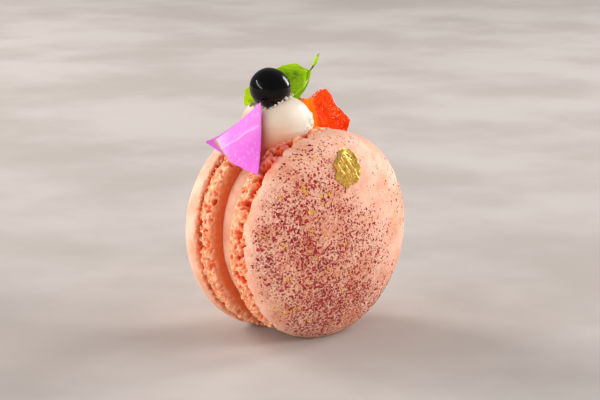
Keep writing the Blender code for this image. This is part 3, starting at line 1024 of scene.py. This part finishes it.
@dataclass
class Cream:
    """Dollop of cream pressed into the seam, hollowed by the pearl, with torn crumbs round the hollow."""

    body: Body
    pearl: Pearl
    at: Vector = field(default_factory=lambda: Vector((-5.1, 0.9, 22.0)) * MM)
    half: Vector = field(default_factory=lambda: Vector((7.7, 7.0, 6.75)) * MM)
    fullness: float = 2.3
    seed: int = 41

    def hollow(self, spots: Points) -> Points:
        """Highest that the cream may stand at each place: low before the pearl, high behind its right."""
        side = (spots - np.array(self.pearl.at)) @ np.array((0.711, -0.703, 0.0))
        gap = np.hypot(*(spots - np.array(self.pearl.at))[:, :2].T)
        torn = np.maximum(waves(spots * np.array((1, 1, 0.2)), 0.75 * MM, self.seed + 3, 3), -0.2)
        rise = 1.9 * MM * ramp(side, -0.5 * MM, 3.6 * MM) + 1.1 * np.maximum(gap - 4.2 * MM, 0)
        return 26.75 * MM + rise + 0.55 * MM * torn * ramp(gap, 5.4 * MM, 3.8 * MM)

    def dress(self, finish: bpy.types.Material) -> bpy.types.Object:
        """Builds the dollop and its crumbs as one piece."""
        deselect_all()
        bpy.ops.mesh.primitive_uv_sphere_add(segments=240, ring_count=180, radius=1.0)
        piece = take_new("cream_dollop")
        unit = places(piece)
        swollen = unit / (np.abs(unit) ** self.fullness).sum(axis=1)[:, None] ** (1 / self.fullness)
        swollen *= (1 + 0.04 * waves(unit * MM, 0.9 * MM, self.seed, 2))[:, None]
        spots = swollen * np.array(self.half) + np.array(self.at)
        sag = np.maximum(22 * MM - spots[:, 2], 0)
        spots -= np.array((0.711, -0.703, 0.0)) * (0.42 * sag)[:, None]
        spots[:, 2] = np.minimum(spots[:, 2], self.hollow(spots))
        right = ramp(unit @ np.array((0.711, -0.703, 0.0)), 0.8, 0.97) * ramp(unit[:, 2], -0.6, -0.1)
        torn = np.maximum(waves(spots, 0.7 * MM, self.seed + 7, 3), 0)
        streaks = waves(spots * np.array((0.35, 0.35, 1.0)), 0.9 * MM, self.seed + 9, 2)
        spots += unit * (0.75 * MM * right * torn + 0.05 * MM * streaks)[:, None]
        move_to(piece, self.body.put(spots))
        low = (spots[:, 2] - self.at.z) / self.half.z
        side = (spots - np.array(self.at)) @ np.array((0.711, -0.703, 0.0)) / self.half.x
        # Painted shade: peach lower down and away from the lit right side.
        paint(piece, "shade", np.clip(0.25 + ramp(low, 0.6, -0.4), 0, 1) * ramp(side, 0.85, 0.1))
        # Painted pink light from the petal on the left flank.
        flank = 0.55 * ramp(side, -0.1, -0.5) * ramp(low, 0.7, 0.4)
        paint(piece, "foot", np.clip(ramp(low, 0.05, -0.6) + flank, 0, 1))
        settle(piece)
        smooth(piece)
        join(piece, self.crumbs())
        return hand_over(piece, finish, Slot.CREAM, "cream")

    def crumbs(self) -> bpy.types.Object:
        """Small torn lumps of cream along the hollow's rim, from its front round to its right."""
        rng = np.random.default_rng(self.seed)
        count = 90
        turn = np.radians(rng.uniform(-95, 25, count))
        reach = rng.uniform(3.7, 4.7, count) * MM
        across, behind = reach * np.cos(turn), reach * np.sin(turn)
        spots = np.stack([0.711 * across + 0.703 * behind, 0.711 * behind - 0.703 * across, 0 * across], axis=1)
        spots += np.array(self.pearl.at)
        spots[:, 2] = self.hollow(spots) + rng.normal(0.02, 0.1, count) * MM
        normals = rng.normal(0, 1, (count, 3))
        normals /= np.linalg.norm(normals, axis=1)[:, None]
        sizes = rng.uniform(0.12, 0.36, count) * MM
        lumps = grains("cream_crumbs", self.body.put(spots), normals, sizes, 0.8, 7, rng)
        apply_modifier(lumps, "SUBSURF", levels=1, render_levels=1)
        smooth(lumps)
        return lumps


@dataclass
class Petal:
    """Lilac petal folded over itself, which leans on the cream and hangs to the front foot."""

    body: Body
    thickness: float = 0.24 * MM
    apex: tuple[float, float, float] = (-12.27, -1.93, 28.45)
    far: tuple[float, float, float] = (-15.16, 9.17, 19.45)
    low_near: tuple[float, float, float] = (-16.58, -5.61, 14.53)
    low_far: tuple[float, float, float] = (-16.01, 3.62, 16.07)
    tip: tuple[float, float, float] = (-16.0, 12.15, 19.3)
    back_low: tuple[float, float, float] = (-15.1, 4.5, 16.1)
    front_share: float = 0.78

    def surface(self, u: Points, v: Points) -> Points:
        """Places on the petal: u runs along the fold from the apex, v up the front layer and down behind."""
        apex, far, near, low, tip, back = (
            np.array(corner) * MM
            for corner in (self.apex, self.far, self.low_near, self.low_far, self.tip, self.back_low)
        )
        right, behind = np.array((0.711, -0.703, 0.0)), np.array((0.703, 0.711, 0.0))
        along = u[:, None]
        up = np.clip(v / self.front_share, 0, 1)
        hem = near + (low - near) * along
        hem[:, 2] -= 0.25 * MM * np.sin(math.pi * u) + 0.05 * MM * np.sin(17 * u)
        fold = apex + (far - apex) * along
        fold[:, 2] -= 0.35 * MM * np.sin(math.pi * u)
        front = hem + (fold - hem) * up[:, None]
        front -= behind * (1.0 * MM * np.sin(math.pi * up) * np.sin(math.pi * u) ** 0.7)[:, None]
        front += right * (0.32 * MM * np.sin(math.pi * up) * (1 - u) ** 2)[:, None]
        crease_depth = 0.22 * MM * np.exp(-((self.crease(u, up) / 0.035) ** 2)) * ramp(u, 0.0, 0.3)
        front -= behind * crease_depth[:, None]
        down = np.clip((v - self.front_share) / (1 - self.front_share), 0, 1)
        outer = fold + (tip - fold) * along**3 + behind * (0.3 * MM * ramp(down, 0.0, 0.3))[:, None]
        inner = fold + (back - far) * along + behind * 0.9 * MM
        rear = outer + (inner - outer) * down[:, None]
        rear = fold + (rear - fold) * ramp(down, -0.01, 0.14)[:, None]
        spots = np.where(v[:, None] <= self.front_share, front, rear)
        spots += behind * (0.09 * MM * waves(spots, 2.2 * MM, 8, 3))[:, None]
        return self.body.put(spots)

    @staticmethod
    def crease(u: Points, up: Points) -> Points:
        """How far above the crease a place is, in shares of the front layer's height."""
        return up - 0.72 + 0.15 * u**3 + 0.01 * np.sin(14 * u)

    def dress(self, finish: bpy.types.Material) -> bpy.types.Object:
        """Builds the folded sheet and marks its veins, hem and cut edge."""
        piece = patch("petal_folded", 90, 130, self.surface)
        u, v = (self.read(piece, name) for name in "uv")
        front = v <= self.front_share
        up = np.clip(v / self.front_share, 0, 1)
        crease = self.crease(u, up)
        paint(piece, "deep", front * ramp(crease, 0.04, -0.3) * ramp(u, 1.1, 0.3))
        glow = 0.6 * np.exp(-((crease / 0.018) ** 2)) * ramp(u, 0.02, 0.2) + 0.9 * ramp(u + 0.35 * up, 0.9, 1.35)
        paint(piece, "pale", front * np.clip(glow, 0, 1) * 0.85)
        paint(piece, "under", np.where(front, 0.0, 0.9))
        paint(piece, "dry", front * ramp(u, 0.945, 0.965))
        apply_modifier(piece, "SOLIDIFY", thickness=self.thickness, offset=0.0)
        settle(piece)
        smooth(piece, 60)
        return hand_over(piece, finish, Slot.PETAL, "petal")

    @staticmethod
    def read(piece: bpy.types.Object, name: str) -> Points:
        """Reads back a number stored per vertex."""
        values = np.empty(len(piece.data.vertices), np.float32)
        piece.data.attributes[name].data.foreach_get("value", values)
        return values.astype(float)


def spread(outline: list[tuple[float, float]], u: Points, v: Points) -> tuple[Points, Points]:
    """Fills an outline: u runs round it and v from its middle to its edge.

    Args:
        outline: points of the closed edge, in millimetres.
        u: share of the way round.
        v: share of the way out.

    Returns:
        Two coordinates, in metres.
    """
    rim = loop_through(outline, u)
    middle = np.mean(np.array(outline), axis=0) * MM
    flat = middle + (rim - middle) * v[:, None]
    return flat[:, 0], flat[:, 1]


def near_line(across: Points, up: Points, line: list[tuple[float, float]]) -> Points:
    """Distance from places to a line through points.

    Args:
        across: first coordinate of the places, in metres.
        up: second coordinate.
        line: the line's points, in millimetres.

    Returns:
        The distance to the nearest stretch, in metres.
    """
    spots = np.stack([across, up], axis=1)
    nearest = np.full(len(spots), 1.0)
    knots = np.array(line) * MM
    for start, end in zip(knots[:-1], knots[1:]):
        run = end - start
        share = np.clip((spots - start) @ run / (run @ run), 0, 1)[:, None]
        nearest = np.minimum(nearest, np.linalg.norm(spots - start - run * share, axis=1))
    return nearest


@dataclass
class Leaf:
    """Cupped green leaf behind the pearl, with its stalk."""

    body: Body
    turn: float = math.radians(-45)
    thickness: float = 0.25 * MM
    outline: tuple[tuple[float, float], ...] = (
        (2.8, 33.2), (1.05, 34.3), (0.0, 34.9), (-1.5, 34.8),
        (-3.1, 34.4), (-4.4, 33.8), (-6.6, 32.7), (-8.5, 31.4),
        (-10.0, 30.1), (-11.1, 29.2), (-10.8, 28.8), (-11.1, 27.7),
        (-11.1, 26.8), (-10.9, 26.3), (-10.2, 26.1),
        (-9.0, 27.0), (-6.5, 27.7), (-4.0, 27.6), (-1.6, 27.2), (0.3, 27.2), (0.95, 28.0), (1.55, 28.8),
        (2.2, 29.9), (2.7, 31.2), (2.95, 32.4),
    )
    midrib: tuple[tuple[float, float], ...] = (
        (2.6, 33.1), (2.5, 31.4), (2.15, 30.8), (1.5, 29.8), (0.1, 28.4), (-1, 27.5),
    )
    branches: tuple[tuple[tuple[float, float], ...], ...] = (
        ((2.2, 30.95), (1.0, 30.75), (-0.8, 30.7), (-3.0, 30.9), (-6, 30.4)),
        ((2.6, 33.1), (0.8, 33.7), (-0.8, 33.85), (-2.6, 34.2)),
        ((0.9, 29.2), (-1.5, 29.3), (-5, 29.2), (-10, 28.0)),
        ((1.2, 30.8), (0.4, 32.0), (-1.2, 32.6)),
    )

    def depth(self, across: Points, up: Points) -> Points:
        """How far behind the garnish's plane the blade lies."""
        fold = np.maximum(0, across - 1.6 * MM) * 0.9
        return 2.0 * MM + 0.12 * across + fold + 0.3 * MM * np.sin((up - 28 * MM) / (1.6 * MM))

    def local(self, across: Points, behind: Points, up: Points) -> Points:
        """Turns the leaf's own axes into places in the frame."""
        flat = np.stack([across, behind, up], axis=1)
        return self.body.put(flat @ np.array(Matrix.Rotation(self.turn, 3, "Z")).T)

    def veins(self, across: Points, up: Points) -> Points:
        """1 on a vein, fading to 0 beside it."""
        rib = np.exp(-((near_line(across, up, list(self.midrib)) / (0.16 * MM)) ** 2))
        for branch in self.branches:
            rib = np.maximum(rib, 0.8 * np.exp(-((near_line(across, up, list(branch)) / (0.11 * MM)) ** 2)))
        return rib

    def surface(self, u: Points, v: Points) -> Points:
        """Places on the blade, puckered between its veins."""
        across, up = spread(list(self.outline), u, v)
        pucker = 0.22 * MM * waves(np.stack([across, up, 0 * up], axis=1), 2.2 * MM, 12, 2)
        behind = self.depth(across, up) + pucker + 0.10 * MM * self.veins(across, up)
        return self.local(across, behind, up)

    def dress(self, finish: bpy.types.Material) -> bpy.types.Object:
        """Builds the blade and the stalk as one piece."""
        piece = patch("leaf_blade", 260, 90, self.surface)
        u, v = (Petal.read(piece, name) for name in "uv")
        across, up = spread(list(self.outline), u, v)
        paint(piece, "vein", self.veins(across, up) * 0.85)
        # Painted light: the blade is brighter towards its left and its top.
        paint(piece, "bright", np.clip(ramp(across, -2 * MM, -9 * MM) + 0.5 * ramp(up, 33 * MM, 35 * MM), 0, 1))
        # Painted shade: the strip past the fold, and a painted shadow near the midrib's top.
        strip = ramp(across - 0.42 * (up - 29.8 * MM), 1.65 * MM, 1.9 * MM) * ramp(up, 31.6 * MM, 31.0 * MM)
        shadow = np.exp(-(((across + 0.2 * MM) / (0.8 * MM)) ** 2) - ((up - 32.5 * MM) / (1.0 * MM)) ** 2)
        paint(piece, "deep", np.clip(0.75 * strip + 0.8 * shadow, 0, 1))
        paint(piece, "dry", 0 * u)
        apply_modifier(piece, "SOLIDIFY", thickness=self.thickness, offset=0.0)
        settle(piece)
        join(piece, self.stalk())
        smooth(piece, 70)
        return hand_over(piece, finish, Slot.LEAF, "leaf")

    def stalk(self) -> bpy.types.Object:
        """Thin stalk that swells before its dry, hooked tip."""
        route = [(2.5, 2.7, 31.4), (2.75, 2.8, 32.6), (3.0, 2.9, 33.3), (3.3, 2.9, 33.8), (3.6, 2.9, 34.2),
                 (3.85, 2.9, 34.7), (4.15, 2.9, 35.5), (4.4, 2.9, 36.0),
                 (4.6, 2.9, 36.4), (4.8, 2.9, 36.9), (4.95, 2.9, 36.75)]
        widths = (0.16, 0.24, 0.26, 0.22, 0.20, 0.40, 0.44, 0.36, 0.16, 0.18, 0.08)
        knots = np.array(route) * MM

        def tube(u: Points, v: Points) -> Points:
            """Places on the stalk's skin."""
            run = v * (len(knots) - 1)
            start = np.minimum(run.astype(int), len(knots) - 2)
            t = (run - start)[:, None]
            spine = knots[start] * (1 - t) + knots[start + 1] * t
            wide = np.array(widths)[start] * (1 - t[:, 0]) + np.array(widths)[start + 1] * t[:, 0]
            wide = wide * MM * (1 + 0.12 * waves(spine, 0.6 * MM, 19, 2))
            angle = 2 * math.pi * u
            across, back = spine[:, 0] + wide * np.cos(angle), spine[:, 1] + wide * np.sin(angle)
            return self.local(across, back, spine[:, 2])

        piece = patch("leaf_stalk", 14, 70, tube)
        v = Petal.read(piece, "v")
        paint(piece, "vein", np.full(len(v), 0.1))
        paint(piece, "bright", 0.5 * ramp(v, 0.4, 0.6))
        paint(piece, "deep", 0 * v)
        bits = ramp(waves(places(piece), 0.35 * MM, 23, 2), -0.1, 0.15)
        withered = ramp(v, 0.2, 0.26) * ramp(v, 0.47, 0.42) + ramp(v, 0.74, 0.8)
        paint(piece, "dry", np.clip(withered * bits, 0, 1))
        settle(piece)
        activate(piece)
        bpy.ops.object.mode_set(mode="EDIT")
        bpy.ops.mesh.select_all(action="DESELECT")
        bpy.ops.mesh.select_non_manifold()
        bpy.ops.mesh.fill_holes(sides=0)
        bpy.ops.object.mode_set(mode="OBJECT")
        return piece


@dataclass
class SugarChip:
    """Broken chip of sugared orange jelly, stuck in the seam on the right, with crystals on its edges."""

    body: Body
    thickness: float = 1.3 * MM
    outline: tuple[tuple[float, float], ...] = (
        (1.9, 27.4), (3.3, 27.2), (5.2, 27.1), (6.9, 27.8),
        (8.8, 28.5), (9.6, 28.4), (10.5, 27.6), (11.3, 26.8),
        (12.4, 25.3), (13.3, 24.2), (14.8, 22.7), (15.8, 21.9), (16.3, 21.2), (16.2, 20.3), (15.9, 19.4),
        (15.6, 17.6), (13.5, 15.3), (11.3, 16.9), (8.8, 18.4), (6.2, 19.3), (4.6, 21.6), (3.4, 24.6),
    )
    seed: int = 61

    def depth(self, across: Points, up: Points) -> Points:
        """The chip bows away from the front towards its right edge."""
        return 0.45 * MM + 0.9 * MM * np.cos((across - 9 * MM) / (6 * MM)) + 0.15 * MM * np.sin(up / (0.9 * MM))

    def surface(self, u: Points, v: Points) -> Points:
        """Places on the chip's middle sheet."""
        across, up = spread(list(self.outline), u, v)
        return np.stack([across, self.depth(across, up), up], axis=1)

    def dress(self, finish: bpy.types.Material) -> bpy.types.Object:
        """Builds the chip as a thick, grainy slab."""
        piece = patch("sugar_chip_jelly", 240, 60, self.surface)
        apply_modifier(piece, "SOLIDIFY", thickness=self.thickness, offset=0.0)
        settle(piece)
        apply_modifier(
            piece, "BEVEL", width=0.35 * MM, segments=3, limit_method="ANGLE", angle_limit=math.radians(50),
        )
        spots = places(piece)
        rough = np.stack([waves(spots, 0.42 * MM, self.seed + k, 2) for k in range(3)], axis=1)
        wavy = np.stack([waves(spots, 1.9 * MM, self.seed + 10 + k) for k in range(3)], axis=1)
        spots = spots + 0.11 * MM * rough + 0.22 * MM * wavy
        paint(piece, "light", ramp(spots[:, 0] - 0.25 * (24 * MM - spots[:, 2]), 7.2 * MM, 5.6 * MM))
        move_to(piece, self.body.put(spots))
        smooth(piece)
        return hand_over(piece, finish, Slot.CHIP, "sugar_chip")

    def crystals(self, finish: bpy.types.Material) -> bpy.types.Object:
        """Scatters clear sugar grains, most of them along the broken edges."""
        rng = np.random.default_rng(self.seed)
        count = 900
        round_it = rng.uniform(-0.02, 0.68, count)
        edge = rng.uniform(0, 1, count) < 0.7
        out = np.where(edge, rng.uniform(0.97, 1.02, count), np.sqrt(rng.uniform(0.05, 1, count)))
        across, up = spread(list(self.outline), round_it, out)
        face = rng.choice((-1.0, 1.0), count, p=(0.7, 0.3))
        offset = np.where(edge, rng.uniform(-1, 1, count), face) * self.thickness / 2
        centres = np.stack([across, self.depth(across, up) + offset, up], axis=1)
        normals = rng.normal(0, 1, (count, 3))
        normals /= np.linalg.norm(normals, axis=1)[:, None]
        sizes = rng.uniform(0.05, 0.13, count) * MM
        piece = grains("sugar_crystals", self.body.put(centres), normals, sizes, 0.9, 4, rng)
        return hand_over(piece, finish, Slot.CHIP)


@dataclass
class GoldLeaf:
    """Crumpled patch of gold foil on the front dome."""

    shell: Shell
    outline: tuple[tuple[float, float], ...] = (
        (-1.0, 19.5), (1.2, 19.3), (2.4, 18.4), (3.2, 16.4),
        (3.1, 14.0), (1.5, 12.4), (-0.2, 12.3), (-1.4, 11.5),
        (-2.6, 12.6), (-4.3, 14.2), (-3.7, 15.5), (-4.2, 16.9), (-2.6, 18.0),
    )
    seed: int = 71

    def surface(self, u: Points, v: Points) -> Points:
        """Places on the foil, folded and torn."""
        angle = 2 * math.pi * u
        circle = np.stack([np.cos(angle), np.sin(angle), 0 * angle], axis=1)
        tear = 1 + 0.13 * waves(circle * MM, 0.3 * MM, self.seed, 3) * v**3
        across, up = spread(list(self.outline), u, v * tear)
        spots, normals = self.shell.on_dome(across, up)
        flat = np.stack([across * 1.2 + up * 0.6, 0 * up, up * 0.7], axis=1)
        folds = 1 - 2.4 * np.abs(waves(flat, 3.4 * MM, self.seed + 2, 2))
        crumple = 1 - 2.2 * np.abs(waves(flat, 1.2 * MM, self.seed + 6, 3))
        ridge = 0.62 * np.maximum(folds, 0) + 0.38 * crumple
        lift = 0.12 * MM + 0.95 * MM * np.maximum(ridge, 0) * ramp(v, 1.02, 0.8)
        return spots + normals * lift[:, None]

    def dress(self, finish: bpy.types.Material) -> bpy.types.Object:
        """Builds the foil."""
        piece = patch("gold_leaf_foil", 220, 80, self.surface)
        apply_modifier(piece, "SOLIDIFY", thickness=0.06 * MM, offset=0.0)
        settle(piece)
        smooth(piece, 35)
        return hand_over(piece, finish, Slot.GOLD, "gold_leaf")


@dataclass
class Powder:
    """Fruit powder and gold dust strewn over the shells."""

    front: Shell
    back: Shell
    seed: int = 5
    clusters: tuple[tuple[float, float, float], ...] = (
        (-8.0, 18.0, 0.45), (-11.9, 13.3, 0.4), (-12.3, 12.3, 0.4), (-11.8, 11.8, 0.35), (-8.5, 10.9, 0.45),
        (-6.3, 10.9, 0.45), (-16.9, 11.5, 0.4), (-8.5, 9.4, 0.35), (-11.6, 8.0, 0.45), (-10.9, 8.1, 0.35),
        (-21.0, 3.7, 0.3), (-11.2, 3.8, 0.45), (-7.9, 3.0, 0.4), (-17.4, 1.7, 0.35), (-17.7, 1.1, 0.35),
        (-11.9, -0.3, 0.4), (-5.1, -0.2, 0.35), (-10.4, -2.2, 0.3), (-16.4, -5.9, 0.55), (-6.7, -4.9, 0.35),
        (-11.4, -7.3, 0.3), (-18.2, -9.5, 0.3), (-13.2, -12.6, 0.45),
        (-17.6, -12.3, 0.4), (-15.3, -13.8, 0.5),
        (-9.6, -15.8, 0.35), (-1.6, 21.9, 0.4), (-11.6, 18.5, 0.3), (-3.7, -6.7, 0.3), (-16.8, -11.2, 0.35),
    )

    def strewn(self, rng: np.random.Generator, count: int, weight: Callable[[Points, Points], Points],
               reach: float) -> tuple[Points, Points]:
        """Draws places on a dome's disc.

        Args:
            rng: where the draws come from.
            count: how many places.
            weight: how likely a place is, from 0 to 1.
            reach: largest distance from the axis.

        Returns:
            Distances right of and above the axis.
        """
        across, up = rng.uniform(-reach, reach, (2, count * 16))
        kept = (np.hypot(across, up) < reach) & (rng.uniform(0, 1, count * 16) < weight(across, up))
        return across[kept][:count], up[kept][:count]

    @staticmethod
    def clear_of_table(across: Points, up: Points) -> tuple[Points, Points]:
        """Keeps the places that don't touch the table."""
        kept = up > -21.4 * MM
        return across[kept], up[kept]

    def fruit(self, finish: bpy.types.Material) -> bpy.types.Object:
        """Maroon specks, thick over the middle and foot of the front dome, few on the back."""
        rng = np.random.default_rng(self.seed)
        across, up = self.strewn(rng, 10400, self.front.dusty, 0.992 * self.front.body.radius)
        across, up = self.clear_of_table(across, up)
        spots, normals = self.front.on_dome(across, up)
        sizes = np.exp(rng.normal(math.log(0.122), 0.46, len(across))) * MM
        reach = 0.985 * self.back.body.radius
        few_across, few_up = self.strewn(rng, 110, lambda a, b: np.full(len(a), 0.3), reach)
        few_across, few_up = self.clear_of_table(few_across, few_up)
        few_spots, few_normals = self.back.on_dome(few_across, few_up)
        few_sizes = rng.uniform(0.07, 0.16, len(few_across)) * MM
        spots, normals = np.concatenate([spots, few_spots]), np.concatenate([normals, few_normals])
        piece = grains("fruit_powder", spots, normals,
                       np.clip(np.concatenate([sizes, few_sizes]), 0.05 * MM, 0.36 * MM), 0.25, 6, rng)
        return hand_over(piece, finish, Slot.BISCUIT)

    def gold(self, finish: bpy.types.Material) -> bpy.types.Object:
        """Gold flecks: small clusters where a brush touched, and loose dust between them."""
        rng = np.random.default_rng(self.seed + 1)
        reach = 0.97 * self.front.body.radius
        more_across, more_up = self.strewn(rng, 60, lambda a, b: 0.1 + 0.5 * (a > -4 * MM), reach)
        hearts = np.array(self.clusters)
        across = np.concatenate([hearts[:, 0] * MM, more_across])
        up = np.concatenate([hearts[:, 1] * MM, more_up])
        width = np.concatenate([hearts[:, 2], rng.uniform(0.12, 0.34, len(more_across))]) * MM
        each = 9
        across = np.repeat(across, each) + rng.normal(0, 0.62, len(across) * each) * np.repeat(width, each)
        up = np.repeat(up, each) + rng.normal(0, 0.62, len(up) * each) * np.repeat(width, each)
        sizes = rng.uniform(0.3, 0.62, len(across)) * np.repeat(width, each)
        loose_across, loose_up = self.strewn(rng, 260, lambda a, b: np.full(len(a), 0.5), reach)
        across, up = np.concatenate([across, loose_across]), np.concatenate([up, loose_up])
        sizes = np.concatenate([sizes, rng.uniform(0.05, 0.12, len(loose_across)) * MM])
        kept = (np.hypot(across, up) < 0.985 * self.front.body.radius) & (up > -21.4 * MM)
        spots, normals = self.front.on_dome(across[kept], up[kept])
        normals = normals + rng.normal(0, 0.3, normals.shape)
        normals /= np.linalg.norm(normals, axis=1)[:, None]
        piece = grains("gold_dust", spots, normals, sizes[kept], 0.45, 5, rng)
        return hand_over(piece, finish, Slot.GOLD)


# ------------------------------------------------------------------ studio


@dataclass
class Studio:
    """Pale table, plain white lamps and a camera close to the macaron and a little above it."""

    target: Vector
    azimuth: float = math.radians(-44.7)
    elevation: float = math.radians(13.0)
    distance: float = 0.45
    lens: float = 126.1
    shift: tuple[float, float] = (0.0062, 0.044)

    def floor(self) -> bpy.types.Object:
        """Lays the table."""
        deselect_all()
        bpy.ops.mesh.primitive_plane_add(size=8.0, location=(0, 0, 0))
        table = take_new("table_top")
        table.data.materials.append(FloorFinish().build())
        return table

    def camera(self) -> None:
        """Aims the camera at the macaron's centre."""
        back = Vector((
            math.sin(self.azimuth) * math.cos(self.elevation),
            -math.cos(self.azimuth) * math.cos(self.elevation),
            math.sin(self.elevation),
        ))
        data = bpy.data.cameras.new("view")
        data.lens, data.sensor_width = self.lens, 36.0
        data.shift_x, data.shift_y = self.shift
        data.clip_start = 0.01
        camera = bpy.data.objects.new("view", data)
        camera.location = self.target + back * self.distance
        camera.rotation_euler = back.to_track_quat("Z", "Y").to_euler()
        bpy.context.scene.collection.objects.link(camera)
        bpy.context.scene.camera = camera

    def lamp(self, name: str, at: tuple[float, float, float], size: tuple[float, float], watts: float,
             roll: float = 0.0, mirrored: bool = True) -> None:
        """Hangs a white area lamp that faces the macaron.

        Args:
            name: the lamp's name.
            at: where it hangs, in metres from the macaron's centre: right, behind and above for the camera.
            size: its width and height.
            watts: its power.
            roll: its turn about its own axis, in degrees.
            mirrored: whether glossy pieces show it.
        """
        data = bpy.data.lights.new(name, "AREA")
        data.shape = "RECTANGLE"
        data.size, data.size_y = size
        data.energy = watts
        lamp = bpy.data.objects.new(name, data)
        place = Matrix.Rotation(self.azimuth, 3, "Z") @ Vector(at)
        lamp.location = self.target + place
        facing = place.to_track_quat("Z", "Y").to_matrix() @ Matrix.Rotation(math.radians(roll), 3, "Z")
        lamp.rotation_euler = facing.to_euler()
        lamp.visible_glossy = mirrored
        bpy.context.scene.collection.objects.link(lamp)

    def lights(self) -> None:
        """Hangs the lamps and sets the sky."""
        self.lamp("key_back_right", (0.60, 0.46, 0.30), (0.20, 0.40), 3.8)
        self.lamp("right_wide", (0.75, -0.12, 0.30), (0.40, 0.40), 5.0, mirrored=False)
        self.lamp("rim_back_left", (-0.62, 0.50, 0.34), (0.30, 0.30), 6.8, mirrored=False)
        self.lamp("front_fill", (-0.42, -0.68, 0.20), (0.60, 0.40), 3.3, mirrored=False)
        self.lamp("left_strip", (-0.62, -0.20, 0.22), (0.03, 0.80), 2.2, roll=62)
        world = bpy.data.worlds.new("sky")
        world.use_nodes = True
        tree = world.node_tree
        sky = tree.nodes["Background"]
        sky.inputs["Color"].default_value = (1, 1, 1, 1)
        sky.inputs["Strength"].default_value = 0.26
        bpy.context.scene.world = world

    def build(self) -> None:
        """Sets up the whole studio."""
        bpy.context.scene.view_settings.view_transform = "Standard"
        self.floor()
        self.camera()
        self.lights()


def main() -> None:
    """Builds the macaron piece by piece."""
    logging.basicConfig(level=logging.INFO, format="%(message)s")
    for thing in list(bpy.data.objects):
        bpy.data.objects.remove(thing, do_unlink=True)
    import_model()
    body = Body.from_frame()

    front = Shell(
        body, Side.FRONT, foot=5.7 * MM, dome=9.4 * MM, lean=math.radians(1.4), seed=3, half_seam=1.8 * MM,
        groove=0.9 * MM, lip_round=0.7 * MM,
        craters=(
            (-15.2, 6.0, 15.9, 1.7, 2.6), (-11.4, 4.9, 18.8, 1.3, 2.0), (-8.1, 5.4, 20.4, 1.0, 1.6),
            (-16.9, 6.6, 14.1, 1.2, 2.0), (-18.1, 6.5, 12.3, 1.1, 1.8), (-20.1, 5.6, 9.4, 1.1, 1.6),
            (-21.5, 6.8, -4.2, 0.9, 1.5), (-21.8, 5.3, -2.1, 0.7, 1.1), (-20.0, 6.5, -8.9, 1.0, 1.6),
        ),
        stains=(
            (-13.3, 5.6, 17.5, 3.6), (-10.0, 5.6, 19.6, 3.0), (-15.6, 7.6, 15.6, 3.0), (-13.0, 8.0, 17.8, 2.6),
        ),
    )
    back = Shell(
        body, Side.BACK, foot=4.9 * MM, dome=9.5 * MM, lean=math.radians(1.5), seed=11, half_seam=2.6 * MM,
        groove=0.1 * MM, raggedness=0.2 * MM,
    )
    biscuit = BiscuitFinish().build()
    front.dress(biscuit)
    back.dress(biscuit)
    Filling(body).dress(ButtercreamFinish().build())

    pearl = Pearl(body)
    Cream(body, pearl).dress(CreamFinish().build())
    pearl.dress(GlazeFinish().build())
    Petal(body).dress(PetalFinish().build())
    Leaf(body).dress(LeafFinish().build())
    chip = SugarChip(body)
    chip.dress(JellyFinish().build())
    chip.crystals(GrainFinish("clear_sugar", srgb(255, 214, 190), srgb(255, 246, 240), 0.2, 0.2).build())
    GoldLeaf(front).dress(FoilFinish().build())

    powder = Powder(front, back)
    powder.fruit(GrainFinish("fruit_powder", srgb(122, 18, 22), srgb(190, 54, 58)).build())
    # The gold dust's second colour is brown painted shade in noise patches.
    powder.gold(FoilFinish("gold_dust", (0.95, 0.54, 0.05), (0.78, 0.38, 0.02), (0.35, 0.5), 0.25).build())

    Studio(body.centre).build()


if __name__ == "__main__":
    main()
